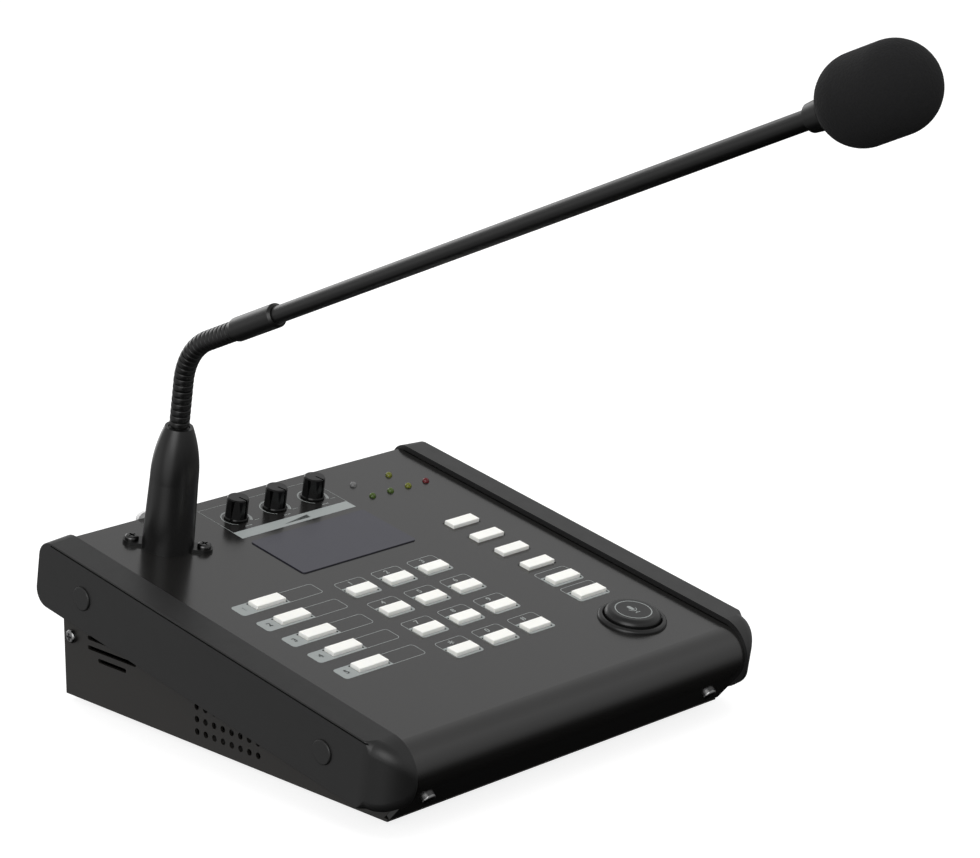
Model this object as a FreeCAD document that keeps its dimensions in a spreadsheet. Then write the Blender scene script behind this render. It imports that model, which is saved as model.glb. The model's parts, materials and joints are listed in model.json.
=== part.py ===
import FreeCAD, Part
import math
import os
from types import SimpleNamespace

import Sketcher

# Network desk microphone: a sloping desk case with keys and a display, and a microphone on a bent neck.
# World frame in millimetres: x to the right, y to the rear, z up, origin at desk level under the middle
# of the whole object. Panel frame: u to the right, v up the slope from the front line, n square out of it.
# A setback is measured inward from the panel's rear edge, or from its left or right edge along u.

SIZES = {
    # case
    "case_width": 183.0,
    "front_height": 34.3,
    "slope_angle": 10.17,
    "panel_length": 190.0,
    "panel_sheet": 2.0,
    "tray_sheet": 1.2,
    "flange_length": 30.6,
    "flange_bend": 0.5,
    "roll_radius": 12.0,
    "roll_setback": 5.5,
    "seam": 0.12,
    "tray_flange": 15.0,
    "tray_flange_root": 1.5,
    "foot_height": 3.0,
    "foot_radius": 7.0,
    "foot_inset": 20.0,
    "ear_width": 7.4,
    "ear_edge": 3.4,
    # side covers
    "cover_thickness": 12.3,
    "cover_rise": 2.5,
    "cover_drop": 27.3,
    "cover_draft_angle": 3.7,
    "cover_wall": 2.2,
    "cover_face": 3.0,
    "cover_overhang": 3.8,
    "cover_nose_setback": 4.0,
    "cover_rear_radius": 7.8,
    "cover_plan_radius": 20.0,
    "cover_plan_start": 0.5,
    "rim_round": 0.3,
    "crease_end_round": 5.0,
    "nose_round": 6.0,
    "groove_edge": 0.5,
    "groove_width": 0.6,
    "groove_depth": 0.8,
    "plug_radius": 5.0,
    "plug_thickness": 2.8,
    "plug_rise": 0.8,
    "plug_round": 0.6,
    "plug_front_reach": 19.8,
    "plug_rear_setback": 26.0,
    "plug_drop": 12.9,
    "post_radius": 7.5,
    "post_seat": 2.0,
    # holes in the side walls
    "slot_height": 1.8,
    "slot_pitch": 4.2,
    "slot_first_z": 19.6,
    "slot_setback": 30.82,
    "slot_long": 30.7,
    "slot_short": 17.9,
    "grille_hole_radius": 1.35,
    "grille_pitch": 5.2,
    "grille_reach": 72.6,
    "grille_first_z": 5.9,
    # screws
    "screw_radius": 1.5,
    "screw_length": 6.0,
    "screw_head_radius": 2.9,
    "screw_head_height": 1.9,
    "screw_head_round": 1.2,
    "recess_length": 3.2,
    "recess_width": 0.8,
    "recess_depth": 1.1,
    "hole_clearance": 0.1,
    "overrun": 1.0,
    "thread_gap": 0.02,
    "lip_screw_setback": 13.3,
    "lip_screw_up": 11.5,
    "side_screw_setback": 5.52,
    "side_screw_z": 26.0,
    # keys
    "key_height": 1.55,
    "key_gap": 0.3,
    "key_depth": 5.6,
    "pad_key_width": 12.2,
    "side_key_width": 14.8,
    "key_edge": 0.2,
    "key_flange": 0.8,
    "key_flange_thickness": 0.8,
    "key_stem_radius": 1.6,
    "key_stem_length": 3.9,
    "corner_hole_radius": 0.6,
    "pad_centre_u": 1.35,
    "pad_window_distance": 22.92,
    "pad_pitch_u": 19.95,
    "pad_pitch_v": 19.66,
    "left_key_setback": 32.4,
    "right_key_setback": 29.0,
    "side_key_reach": 44.85,
    "side_key_pitch": 15.02,
    # keypad board and what stands on it
    "board_top": 9.5,
    "board_thickness": 1.6,
    "board_left_setback": 19.5,
    "board_right_setback": 9.5,
    "board_rear_setback": 8.0,
    "board_front_margin": 4.9,
    "board_notch_width": 17.0,
    "board_notch_depth": 18.4,
    "board_lobe_width": 21.0,
    "board_lobe_depth": 14.9,
    "switch_side": 6.2,
    "switch_height": 4.4,
    "switch_floor": 0.6,
    "running_gap": 0.3,
    "spacer_radius": 2.5,
    "spacer_left_reach": 40.0,
    "spacer_right_reach": 42.0,
    "spacer_front_setback": 130.0,
    "spacer_rear_setback": 60.0,
    # display
    "window_left_reach": 29.3,
    "window_width": 62.5,
    "window_rear_setback": 40.0,
    "window_depth": 33.2,
    "window_rise": 0.45,
    "window_corner": 1.5,
    "window_gap": 0.05,
    "window_flange": 2.0,
    "window_flange_thickness": 1.2,
    "module_margin": 4.0,
    # lamps
    "lamp_radius": 1.5,
    "lamp_rise": 1.6,
    "lamp_flange": 0.4,
    "lamp_flange_thickness": 1.0,
    "lamp_row_setback": 31.7,
    "lamp_upper_setback": 19.3,
    "lamp_right_setback": 13.9,
    "lamp_pitch": 10.4,
    # volume knobs
    "knob_centre_u": 1.8,
    "knob_pitch": 21.2,
    "knob_rear_setback": 19.35,
    "knob_radius": 4.9,
    "knob_top_radius": 4.65,
    "knob_flat_radius": 4.55,
    "knob_edge": 0.5,
    "knob_height": 9.7,
    "knob_gap": 0.4,
    "skirt_radius": 5.15,
    "skirt_height": 0.4,
    "skirt_slope": 0.5,
    "knob_bore_top": 6.5,
    "spindle_radius": 3.0,
    "press_gap": 0.02,
    "pot_side": 10.0,
    "pot_height": 6.5,
    "pot_floor": 1.0,
    "pointer_width": 0.8,
    "pointer_depth": 0.5,
    "pointer_angle": 10.0,
    # talk button
    "talk_right_setback": 30.5,
    "talk_reach": 18.9,
    "talk_radius": 11.5,
    "talk_height": 4.1,
    "talk_face_radius": 9.2,
    "talk_edge_drop": 1.9,
    "talk_edge_radius": 2.7,
    "talk_gap": 0.4,
    "talk_flange": 1.0,
    "talk_stem_radius": 2.5,
    "talk_stem_length": 3.3,
    "bezel_radius": 14.2,
    "bezel_height": 1.5,
    "bezel_round": 1.3,
    "bezel_lip": 0.5,
    "bezel_sleeve": 1.2,
    "bezel_sleeve_depth": 3.0,
    "talk_switch_side": 12.0,
    "talk_switch_height": 3.5,
    "talk_switch_floor": 0.2,
    # neck foot and the plate under it
    "boss_left_setback": 30.5,
    "boss_rear_setback": 25.6,
    "boss_foot_radius": 10.65,
    "boss_waist_radius": 9.8,
    "boss_waist_height": 30.0,
    "boss_shoulder_radius": 59.8,
    "boss_rim_radius": 5.7,
    "boss_height": 53.0,
    "lug_thickness": 1.2,
    "lug_radius": 3.6,
    "lug_offset": 10.4,
    "wire_radius": 2.4,
    "spigot_radius": 8.0,
    "spigot_rise": 4.0,
    "spigot_gap": 0.1,
    "socket_radius": 11.0,
    "socket_thickness": 2.0,
    # flexible neck
    "neck_radius": 4.1,
    "neck_seat": 5.5,
    "rib_pitch": 2.7,
    "rib_groove": 0.6,
    "rib_flank": 0.3,
    "rib_depth": 0.5,
    "lower_neck_top": 16.1,
    "middle_neck_top": 32.3,
    "bend_angle": 56.8,
    "bend_radius": 26.0,
    "bend_height": 33.6,
    # arm, measured along it from where its line meets the neck's
    "sleeve_start": 33.6,
    "sleeve_length": 26.3,
    "sleeve_radius": 4.85,
    "sleeve_bevel": 0.9,
    "sleeve_grip": 5.4,
    "sleeve_gap": 0.15,
    "tube_radius": 3.45,
    "tube_wall": 0.5,
    "tube_grip": 8.0,
    "collar_start": 342.8,
    "collar_length": 11.0,
    "collar_rear_radius": 5.0,
    "collar_front_radius": 6.0,
    "collar_grip": 6.0,
    "capsule_radius": 6.5,
    "capsule_length": 30.0,
    "capsule_round": 1.5,
    "screen_radius": 15.5,
    "screen_length": 44.4,
    "screen_offset": 6.6,
    "soft_gap": 0.3,
    # main board, network jack, speaker and rear lamp
    "main_board_width": 120.0,
    "main_board_depth": 100.0,
    "main_board_height": 8.0,
    "main_board_setback": 0.8,
    "standoff_radius": 3.0,
    "standoff_inset": 6.0,
    "jack_reach": 30.0,
    "jack_width": 16.0,
    "jack_depth": 21.0,
    "jack_height": 13.6,
    "jack_floor": 3.0,
    "mouth_width": 11.8,
    "mouth_height": 8.2,
    "mouth_depth": 14.0,
    "speaker_radius": 19.0,
    "speaker_depth": 16.0,
    "speaker_rim": 3.0,
    "speaker_cone_radius": 16.0,
    "speaker_cone_depth": 4.5,
    "magnet_radius": 11.5,
    "magnet_height": 7.0,
    "dome_offset": 8.4,
    "dome_radius": 3.1,
    "dome_skirt": 0.5,
    "dome_top": 2.3,
}

# Rows, counts and the turn of the foot's lugs in degrees
PAD_ROWS = (("1", "2", "3"), ("4", "5", "6"), ("7", "8", "9"), ("star", "0", "pound"))
LEFT_KEYS = 5
RIGHT_KEYS = 6
LAMPS_IN_ROW = 4
KNOBS = 3
KNOB_FLATS = 8
SLOT_ROWS = 5
GRILLE_COLUMNS = 8
GRILLE_ROWS = 7
LUG_TURN = 135

doc = FreeCAD.newDocument("desk_microphone")
sheet = doc.addObject("Spreadsheet::Sheet", "Sizes")
for line, (alias, number) in enumerate(SIZES.items(), 1):
    sheet.set(f"A{line}", alias)
    sheet.set(f"B{line}", str(number))
    sheet.setAlias(f"B{line}", alias)
doc.recompute()
derived = doc.addObject("App::VarSet", "Derived")


# Numbers that carry their formula

class Size:
    """A number together with the formula that gives it from the sheet."""

    def __init__(self, value, text):
        self.value = value
        self.text = text

    def __add__(self, other):
        other = size(other)
        return Size(self.value + other.value, f"({self.text} + {other.text})")

    def __sub__(self, other):
        other = size(other)
        return Size(self.value - other.value, f"({self.text} - {other.text})")

    def __mul__(self, other):
        other = size(other)
        return Size(self.value * other.value, f"({self.text} * {other.text})")

    def __truediv__(self, other):
        other = size(other)
        return Size(self.value / other.value, f"({self.text} / {other.text})")

    def __radd__(self, other):
        return size(other) + self

    def __rsub__(self, other):
        return size(other) - self

    def __rmul__(self, other):
        return size(other) * self

    def __neg__(self):
        return size(0) - self


def size(thing):
    """A plain number or a Size, as a Size."""
    if isinstance(thing, Size):
        return thing
    return Size(float(thing), f"({float(thing)!r})")


def sine(angle):
    return Size(math.sin(math.radians(angle.value)), f"sin({angle.text})")


def cosine(angle):
    return Size(math.cos(math.radians(angle.value)), f"cos({angle.text})")


def tangent(angle):
    return Size(math.tan(math.radians(angle.value)), f"tan({angle.text})")


def arc_cosine(ratio):
    return Size(math.degrees(math.acos(ratio.value)), f"(acos({ratio.text}) / 1 deg)")


def root(number):
    return Size(math.sqrt(number.value), f"sqrt({number.text})")


def keep(name, formula):
    """Gives a worked-out value a name in the document, so that later formulas stay short."""
    derived.addProperty("App::PropertyFloat", name)
    derived.setExpression(name, formula.text)
    return Size(formula.value, f"Derived.{name}")


dim = SimpleNamespace(**{alias: Size(float(sheet.get(alias)), f"Sizes.{alias}") for alias in SIZES})


# Frames

X_AXIS = FreeCAD.Vector(1, 0, 0)
Y_AXIS = FreeCAD.Vector(0, 1, 0)
Z_AXIS = FreeCAD.Vector(0, 0, 1)
slope_sine = keep("slope_sine", sine(dim.slope_angle))
slope_cosine = keep("slope_cosine", cosine(dim.slope_angle))
half_width = keep("half_width", dim.case_width / 2)
case_depth = keep("case_depth", dim.panel_length * slope_cosine + dim.flange_length * slope_sine)
arm_angle = keep("arm_angle", dim.slope_angle + dim.bend_angle)
boss_v = keep("boss_v", dim.panel_length - dim.boss_rear_setback)
pivot_n = keep("pivot_n", dim.boss_height + dim.bend_height)
screen_start = keep("screen_start", dim.collar_start + dim.screen_offset)
screen_front = keep("screen_front", screen_start + dim.screen_length - dim.screen_radius)

# How far the object reaches from the case's front line: forward to the windscreen's tip, and back to the
# rear corners of the side covers. The origin lies midway between the two.
pivot_reach = keep("pivot_reach", pivot_n * slope_sine - boss_v * slope_cosine)
forward_reach = keep("forward_reach", pivot_reach + screen_front * sine(arm_angle) + dim.screen_radius)
cover_corner_v = keep("cover_corner_v", dim.panel_length + dim.cover_overhang - dim.cover_rear_radius)
cover_corner_drop = keep("cover_corner_drop", dim.cover_drop - dim.cover_rear_radius)
rear_reach = keep("rear_reach", cover_corner_v * slope_cosine + cover_corner_drop * slope_sine
                  + dim.cover_rear_radius)
front_y = keep("front_y", (forward_reach - rear_reach) / 2)
rear_y = keep("rear_y", front_y + case_depth)
front_z = keep("front_z", dim.foot_height + dim.front_height)
floor_z = keep("floor_z", dim.foot_height + dim.tray_sheet)
WORLD = (0, 0, 0, 0)
PANEL = (0, front_y, front_z, dim.slope_angle)


def world_y(v, n):
    """World y of a point of the panel frame."""
    return front_y + v * slope_cosine - n * slope_sine


def world_z(v, n):
    """World z of a point of the panel frame."""
    return front_z + v * slope_sine + n * slope_cosine


def panel_v(y, z):
    """Panel v of a world point."""
    return (y - front_y) * slope_cosine + (z - front_z) * slope_sine


def panel_n(y, z):
    """Panel n of a world point."""
    return (z - front_z) * slope_cosine - (y - front_y) * slope_sine


def on_panel(u, v, n=0):
    """The frame that stands on the panel at a point, with z square out of it."""
    return (u, world_y(v, n), world_z(v, n), dim.slope_angle)


def in_world(corners):
    """Corners of the panel frame as world corners, their arcs kept."""
    return [(world_y(v, n), world_z(v, n), *arc) for v, n, *arc in corners]


# Objects, each bound to the sheet

def bind(thing, **values):
    """Sets properties, by formula where the value is a Size. A double underscore stands for a dot."""
    for name, value in values.items():
        if isinstance(value, Size):
            thing.setExpression(name.replace("__", "."), value.text)
        else:
            setattr(thing, name, value)
    return thing


def put(thing, at, angle=0, axis=X_AXIS):
    """Places an object at a point, turned about an axis."""
    x, y, z = (size(place) for place in at)
    turn = FreeCAD.Rotation(axis, size(angle).value)
    thing.Placement = FreeCAD.Placement(FreeCAD.Vector(x.value, y.value, z.value), turn)
    bind(thing, Placement__Base__x=x, Placement__Base__y=y, Placement__Base__z=z)
    if isinstance(angle, Size):
        bind(thing, Placement__Rotation__Angle=angle)
    return thing


def box(name, low, extent):
    """A block from its lowest corner."""
    block = bind(doc.addObject("Part::Box", name), Length=extent[0], Width=extent[1], Height=extent[2])
    return put(block, low)


def block_on(name, foot, extent):
    """A block centred in x and y over a point, standing up from it."""
    x, y, z = foot
    return box(name, (x - extent[0] / 2, y - extent[1] / 2, z), extent)


def rod(name, foot, radius, length, angle=0, axis=X_AXIS):
    """A cylinder from the centre of its foot, along z unless turned."""
    cylinder = bind(doc.addObject("Part::Cylinder", name), Radius=radius, Height=length)
    return put(cylinder, foot, angle, axis)


def cross_rod(name, foot, radius, length):
    """A cylinder that runs along x from the centre of its left end."""
    return rod(name, foot, radius, length, 90, Y_AXIS)


def join(name, pieces):
    if len(pieces) == 1:
        return pieces[0]
    return bind(doc.addObject("Part::MultiFuse", name), Shapes=pieces, Refine=True)


def cut(name, base, tools):
    """The base without the tools."""
    return bind(doc.addObject("Part::Cut", name), Base=base, Tool=join(name + "_tools", tools))


def common(name, first, second):
    return bind(doc.addObject("Part::Common", name), Base=first, Tool=second)


def group(name, pieces):
    return bind(doc.addObject("Part::Compound", name), Links=pieces)


def placed(name, piece, at, angle=0, axis=X_AXIS):
    """The same piece once more, at another place."""
    return put(group(name, [piece]), at, angle, axis)


def mirrored(name, piece):
    """The piece on the other side of the middle plane."""
    return bind(doc.addObject("Part::Mirroring", name), Source=piece, Normal=X_AXIS)


def arc_between(start, end, radius, turn):
    """The shorter arc between two points; turn 1 goes counter-clockwise, -1 clockwise."""
    chord = end - start
    rise = math.sqrt(max(radius**2 - chord.Length**2 / 4, 0))
    side = FreeCAD.Vector(-chord.y, chord.x, 0).normalize()
    centre = (start + end) / 2 + side * rise * turn
    first, last = (start, end) if turn > 0 else (end, start)
    angles = [math.atan2(point.y - centre.y, point.x - centre.x) for point in (first, last)]
    if angles[1] < angles[0]:
        angles[1] += 2 * math.pi
    return Part.ArcOfCircle(Part.Circle(centre, Z_AXIS, radius), *angles)


def draw(body, plane, corners):
    """A closed sketch through corners (a, b), or (a, b, radius, turn) where an arc follows."""
    sketch = body.newObject("Sketcher::SketchObject", body.Name + "_sketch")
    planes = body.Origin.OriginFeatures
    sketch.AttachmentSupport = [(next(p for p in planes if p.Role == plane), "")]
    sketch.MapMode = "FlatFace"
    count = len(corners)
    points = [FreeCAD.Vector(size(a).value, size(b).value, 0) for a, b, *arc in corners]
    ends = []
    for i, (a, b, *arc) in enumerate(corners):
        start, end = points[i], points[(i + 1) % count]
        if arc:
            sketch.addGeometry(arc_between(start, end, size(arc[0]).value, arc[1]), False)
        else:
            sketch.addGeometry(Part.LineSegment(start, end), False)
        ends.append((2, 1) if arc and arc[1] < 0 else (1, 2))
    for i, (a, b, *arc) in enumerate(corners):
        after = (i + 1) % count
        sketch.addConstraint(Sketcher.Constraint("Coincident", i, ends[i][1], after, ends[after][0]))
        hold(sketch, f"across_{i}", size(a), "DistanceX", -1, 1, i, ends[i][0])
        hold(sketch, f"up_{i}", size(b), "DistanceY", -1, 1, i, ends[i][0])
        if arc:
            hold(sketch, f"radius_{i}", size(arc[0]), "Radius", i)
    return sketch


def hold(sketch, name, value, kind, *places):
    """A named dimension of a sketch, bound to its formula."""
    number = sketch.addConstraint(Sketcher.Constraint(kind, *places, value.value))
    sketch.renameConstraint(number, name)
    sketch.setExpression("Constraints." + name, value.text)


def pushed(name, plane, corners, length, side="One side"):
    """A sketched outline pushed out into a solid."""
    body = doc.addObject("PartDesign::Body", name)
    pad = body.newObject("PartDesign::Pad", name + "_pad")
    pad.Profile = draw(body, plane, corners)
    return bind(body, Tip=bind(pad, SideType=side, Length=length))


def prism(name, corners, width):
    """An outline in (y, z), or (v, n), with half its width to each side of the middle plane."""
    return pushed(name, "YZ_Plane", corners, width, "Symmetric")


def slab(name, corners, low, height):
    """An outline in x and y, from a low level up."""
    return put(pushed(name, "XY_Plane", corners, height), (0, 0, low))


def turned(name, corners):
    """An outline in radius and height, turned about z."""
    body = doc.addObject("PartDesign::Body", name)
    turn = body.newObject("PartDesign::Revolution", name + "_turn")
    sketch = draw(body, "XZ_Plane", corners)
    turn.Profile = sketch
    turn.ReferenceAxis = (sketch, ["V_Axis"])
    turn.Angle = 360
    return bind(body, Tip=turn)


def bevelled(body, width):
    """The body with a bevel round its highest face."""
    doc.recompute()
    blank = body.Tip
    top = blank.Shape.BoundBox.ZMax
    rim = [f"Edge{i}" for i, edge in enumerate(blank.Shape.Edges, 1) if edge.BoundBox.ZMin > top - 1e-6]
    bevel = body.newObject("PartDesign::Chamfer", body.Name + "_bevel")
    bevel.Base = (blank, rim)
    return bind(body, Tip=bind(bevel, Size=width))


def rounded(left, front, width, depth, radius):
    """Corners of a rounded rectangle, counter-clockwise from its front left."""
    right, rear = left + width, front + depth
    return [
        (left + radius, front),
        (right - radius, front, radius, 1),
        (right, front + radius),
        (right, rear - radius, radius, 1),
        (right - radius, rear),
        (left + radius, rear, radius, 1),
        (left, rear - radius),
        (left, front + radius, radius, 1),
    ]


def stadium(middle_a, middle_b, length, radius):
    """Corners of a slot with round ends, length over all."""
    reach = length / 2 - radius
    return [
        (middle_a - reach, middle_b - radius),
        (middle_a + reach, middle_b - radius, radius, 1),
        (middle_a + length / 2, middle_b, radius, 1),
        (middle_a + reach, middle_b + radius),
        (middle_a - reach, middle_b + radius, radius, 1),
        (middle_a - length / 2, middle_b, radius, 1),
    ]


sub_parts = []


def node(name, pieces, frame=WORLD):
    """One sub-part, as a group of its solids standing in a frame."""
    part = group(name, pieces)
    part.Label = name
    sub_parts.append(put(part, frame[:3], frame[3]))


# Where things stand on the panel

def key_column(u, count):
    """Places down a side column of keys, the rear one first."""
    return [(u, dim.side_key_reach + (count - 1 - row) * dim.side_key_pitch) for row in range(count)]


window_front_v = keep("window_front_v", dim.panel_length - dim.window_rear_setback - dim.window_depth)
pad_first_v = keep("pad_first_v", window_front_v - dim.pad_window_distance)
pad_last_v = keep("pad_last_v", pad_first_v - (len(PAD_ROWS) - 1) * dim.pad_pitch_v)
knob_v = keep("knob_v", dim.panel_length - dim.knob_rear_setback)
boss_u = keep("boss_u", dim.boss_left_setback - half_width)
talk_u = keep("talk_u", half_width - dim.talk_right_setback)
lamp_first_u = keep("lamp_first_u", half_width - dim.lamp_right_setback - (LAMPS_IN_ROW - 1) * dim.lamp_pitch)
lamp_row_v = keep("lamp_row_v", dim.panel_length - dim.lamp_row_setback)
lamp_upper_v = keep("lamp_upper_v", dim.panel_length - dim.lamp_upper_setback)

pad_places = {}
for row, names in enumerate(PAD_ROWS):
    for column, name in enumerate(names):
        place_u = dim.pad_centre_u + (column - 1) * dim.pad_pitch_u
        place_v = pad_first_v - row * dim.pad_pitch_v
        pad_places[f"pad_key_{name}"] = (place_u, place_v)
left_column = key_column(dim.left_key_setback - half_width, LEFT_KEYS)
right_column = key_column(half_width - dim.right_key_setback, RIGHT_KEYS)
side_places = {f"left_key_{i}": place for i, place in enumerate(left_column, 1)}
side_places.update({f"right_key_{i}": place for i, place in enumerate(right_column, 1)})
knob_places = [dim.knob_centre_u + (i - 1) * dim.knob_pitch for i in range(KNOBS)]
lamp_places = [(lamp_first_u + i * dim.lamp_pitch, lamp_row_v) for i in range(LAMPS_IN_ROW)]
lamp_places += [(lamp_first_u + i * dim.lamp_pitch, lamp_upper_v) for i in (0, 2)]
plug_places = [(v, -dim.plug_drop) for v in (dim.plug_front_reach, dim.panel_length - dim.plug_rear_setback)]
lug_places = [(-dim.lug_offset, dim.lug_offset), (dim.lug_offset, -dim.lug_offset)]
talk_throat = keep("talk_throat", dim.talk_radius + dim.talk_gap)


# The lip under the roll, a straight run from the roll down to the tray's front corner

corner_v = keep("corner_v", -dim.front_height * slope_sine)
corner_n = keep("corner_n", -dim.front_height * slope_cosine)
from_roll_v = corner_v + dim.roll_setback
from_roll_n = corner_n + dim.roll_radius
roll_distance = keep("roll_distance", root(from_roll_v * from_roll_v + from_roll_n * from_roll_n))
lip_square = roll_distance * roll_distance - dim.roll_radius * dim.roll_radius
lip_length = keep("lip_length", root(lip_square))
roll_square = roll_distance * roll_distance
lip_v = keep("lip_v", (from_roll_v * lip_length - from_roll_n * dim.roll_radius) / roll_square)
lip_n = keep("lip_n", (from_roll_n * lip_length + from_roll_v * dim.roll_radius) / roll_square)
lip_run = keep("lip_run", lip_v * slope_cosine - lip_n * slope_sine)
lip_fall = keep("lip_fall", -lip_v * slope_sine - lip_n * slope_cosine)
tray_inset = keep("tray_inset", dim.panel_sheet + dim.seam)
lip_screw_x = keep("lip_screw_x", half_width - dim.lip_screw_setback)


def roll_end(inset):
    """Where the roll runs into the lip, on a face that lies inset inside the outer one."""
    reach = dim.roll_radius - inset
    return lip_n * reach - dim.roll_setback, -lip_v * reach - dim.roll_radius


def down_lip(start, distance):
    return start[0] + lip_v * distance, start[1] + lip_n * distance


def lip_point(up, inward):
    """World y and z of a point up the lip from the tray's corner, and inside its outer face."""
    return front_y - lip_run * up + lip_fall * inward, dim.foot_height + lip_fall * up + lip_run * inward


def lip_rod(name, side, radius, length):
    """A rod square through the lip at a lip screw, from just outside it."""
    y, z = lip_point(dim.lip_screw_up, -1)
    return rod(name, (side * lip_screw_x, y, z), radius, length, -arc_cosine(lip_run))


# Case

seam_z = keep("seam_z", world_z(dim.panel_length, -dim.flange_length) - dim.seam)
ear_y = rear_y - dim.side_screw_setback
ear_z = dim.foot_height + dim.side_screw_z
speaker_y = front_y + dim.grille_reach + (GRILLE_COLUMNS - 1) / 2 * dim.grille_pitch
speaker_z = dim.foot_height + dim.grille_first_z + (GRILLE_ROWS - 1) / 2 * dim.grille_pitch
jack_z = keep("jack_z", dim.foot_height + dim.main_board_height + dim.board_thickness)


def side_wall_outline():
    """The tray's side wall in (y, z), inside the panel sheet by a seam."""
    return [
        *in_world([(-dim.roll_setback, -tray_inset, dim.roll_radius - tray_inset, 1), roll_end(tray_inset)]),
        (front_y + tray_inset / lip_fall, dim.foot_height),
        (rear_y, dim.foot_height),
        (rear_y, seam_z),
        *in_world([
            (dim.panel_length - tray_inset, panel_n(rear_y, seam_z)),
            (dim.panel_length - tray_inset, -tray_inset),
        ]),
    ]


def wall_holes():
    """Vent slots and screw holes through both side walls, and the speaker's holes in the left one."""
    through = dim.case_width + 2 * dim.overrun
    holes = []
    for row in range(SLOT_ROWS):
        length = dim.slot_short if row in (0, SLOT_ROWS - 1) else dim.slot_long
        z = dim.foot_height + dim.slot_first_z + row * dim.slot_pitch
        outline = stadium(rear_y - dim.slot_setback, z, length, dim.slot_height / 2)
        holes.append(prism(f"vent_slot_{row}", outline, through))
    for row in range(GRILLE_ROWS):
        for column in range(GRILLE_COLUMNS):
            y = front_y + dim.grille_reach + column * dim.grille_pitch
            z = dim.foot_height + dim.grille_first_z + row * dim.grille_pitch
            foot = (-half_width - dim.tray_sheet, y, z)
            depth = 3 * dim.tray_sheet
            holes.append(cross_rod(f"grille_{row}_{column}", foot, dim.grille_hole_radius, depth))
    for number, (v, n) in enumerate(plug_places):
        foot = (-half_width - dim.overrun, world_y(v, n), world_z(v, n))
        holes.append(cross_rod(f"cover_hole_{number}", foot, dim.screw_radius + dim.thread_gap, through))
    foot = (-half_width - dim.overrun, ear_y, ear_z)
    holes.append(cross_rod("side_hole", foot, dim.screw_radius + dim.hole_clearance, through))
    return holes


def chassis_tray():
    floor_extent = (dim.case_width, case_depth, dim.tray_sheet)
    floor = box("tray_floor", (-half_width, front_y, dim.foot_height), floor_extent)
    outline = side_wall_outline()
    wall_x = half_width - dim.tray_sheet / 2
    walls = [
        put(prism("tray_left_wall", outline, dim.tray_sheet), (-wall_x, 0, 0)),
        put(prism("tray_right_wall", outline, dim.tray_sheet), (wall_x, 0, 0)),
    ]
    rear_low = (-half_width, rear_y - dim.tray_sheet, dim.foot_height)
    rear = box("tray_rear_wall", rear_low, (dim.case_width, dim.tray_sheet, seam_z - dim.foot_height))
    inner, outer = tray_inset + dim.tray_sheet, tray_inset
    flange = prism("tray_front_flange", [
        lip_point(-dim.tray_flange_root, outer),
        lip_point(-dim.tray_flange_root, inner),
        lip_point(dim.tray_flange, inner),
        lip_point(dim.tray_flange, outer),
    ], dim.case_width)
    gap = dim.hole_clearance
    jack_low = (-dim.jack_reach - dim.jack_width / 2 - gap, rear_y - 2 * dim.tray_sheet, jack_z - gap)
    jack_extent = (dim.jack_width + 2 * gap, 3 * dim.tray_sheet, dim.jack_height + 2 * gap)
    holes = wall_holes() + [box("jack_hole", jack_low, jack_extent)]
    for number, side in enumerate((-1, 1)):
        radius = dim.screw_radius + dim.thread_gap
        holes.append(lip_rod(f"flange_hole_{number}", side, radius, 2 * dim.screw_length))
    shell = join("tray_shell", [floor, rear, flange, *walls])
    node("chassis_tray", [cut("tray_with_holes", shell, holes)])


def panel_openings():
    """Tools that cut every opening of the panel, in the panel frame."""
    low = -2 * dim.panel_sheet
    deep = 3 * dim.panel_sheet
    gap = dim.key_gap
    tools = []
    widths = [(pad_places, dim.pad_key_width), (side_places, dim.side_key_width)]
    for places, width in widths:
        for name, (u, v) in places.items():
            extent = (width + 2 * gap, dim.key_depth + 2 * gap, deep)
            tools.append(block_on(f"{name}_opening", (u, v, low), extent))
            for number, side in enumerate((-1, 1)):
                notch_u = u + side * (width + gap) / 2
                notch_v = v - side * (dim.key_depth + gap) / 2
                foot = (notch_u, notch_v, low)
                tools.append(rod(f"{name}_notch_{number}", foot, dim.corner_hole_radius, deep))
    tools.append(slab("window_opening", window_outline(0), low, deep))
    for number, (u, v) in enumerate(lamp_places):
        tools.append(rod(f"lamp_hole_{number}", (u, v, low), dim.lamp_radius + dim.hole_clearance, deep))
    for number, u in enumerate(knob_places):
        radius = dim.spindle_radius + 2 * dim.running_gap
        tools.append(rod(f"spindle_hole_{number}", (u, knob_v, low), radius, deep))
    sleeve_radius = talk_throat + dim.bezel_sleeve + dim.hole_clearance
    tools.append(rod("talk_hole", (talk_u, dim.talk_reach, low), sleeve_radius, deep))
    tools.append(rod("spigot_hole", (boss_u, boss_v, low), dim.spigot_radius + dim.spigot_gap, deep))
    for number, (u, v) in enumerate(lug_places):
        foot = (boss_u + u, boss_v + v, low)
        tools.append(rod(f"lug_hole_{number}", foot, dim.screw_radius + dim.hole_clearance, deep))
    return tools


def window_outline(inset):
    return rounded(inset - dim.window_left_reach, window_front_v + inset,
                   dim.window_width - 2 * inset, dim.window_depth - 2 * inset, dim.window_corner - inset)


def screw_ears():
    """Tabs under the panel, inside the tray's side walls, which take the side screws."""
    v, n = panel_v(ear_y, ear_z), panel_n(ear_y, ear_z)
    low_n = n - dim.ear_edge
    inner_u = half_width - dim.tray_sheet - dim.seam - dim.panel_sheet
    extent = (dim.panel_sheet, dim.ear_width, -low_n - dim.panel_sheet / 2)
    front_v = v - dim.ear_width / 2
    right = box("right_ear", (inner_u, front_v, low_n), extent)
    left = box("left_ear", (-inner_u - dim.panel_sheet, front_v, low_n), extent)
    hole = cross_rod("ear_hole", (-half_width, v, n), dim.screw_radius + dim.thread_gap, dim.case_width)
    return [left, right], hole


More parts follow.
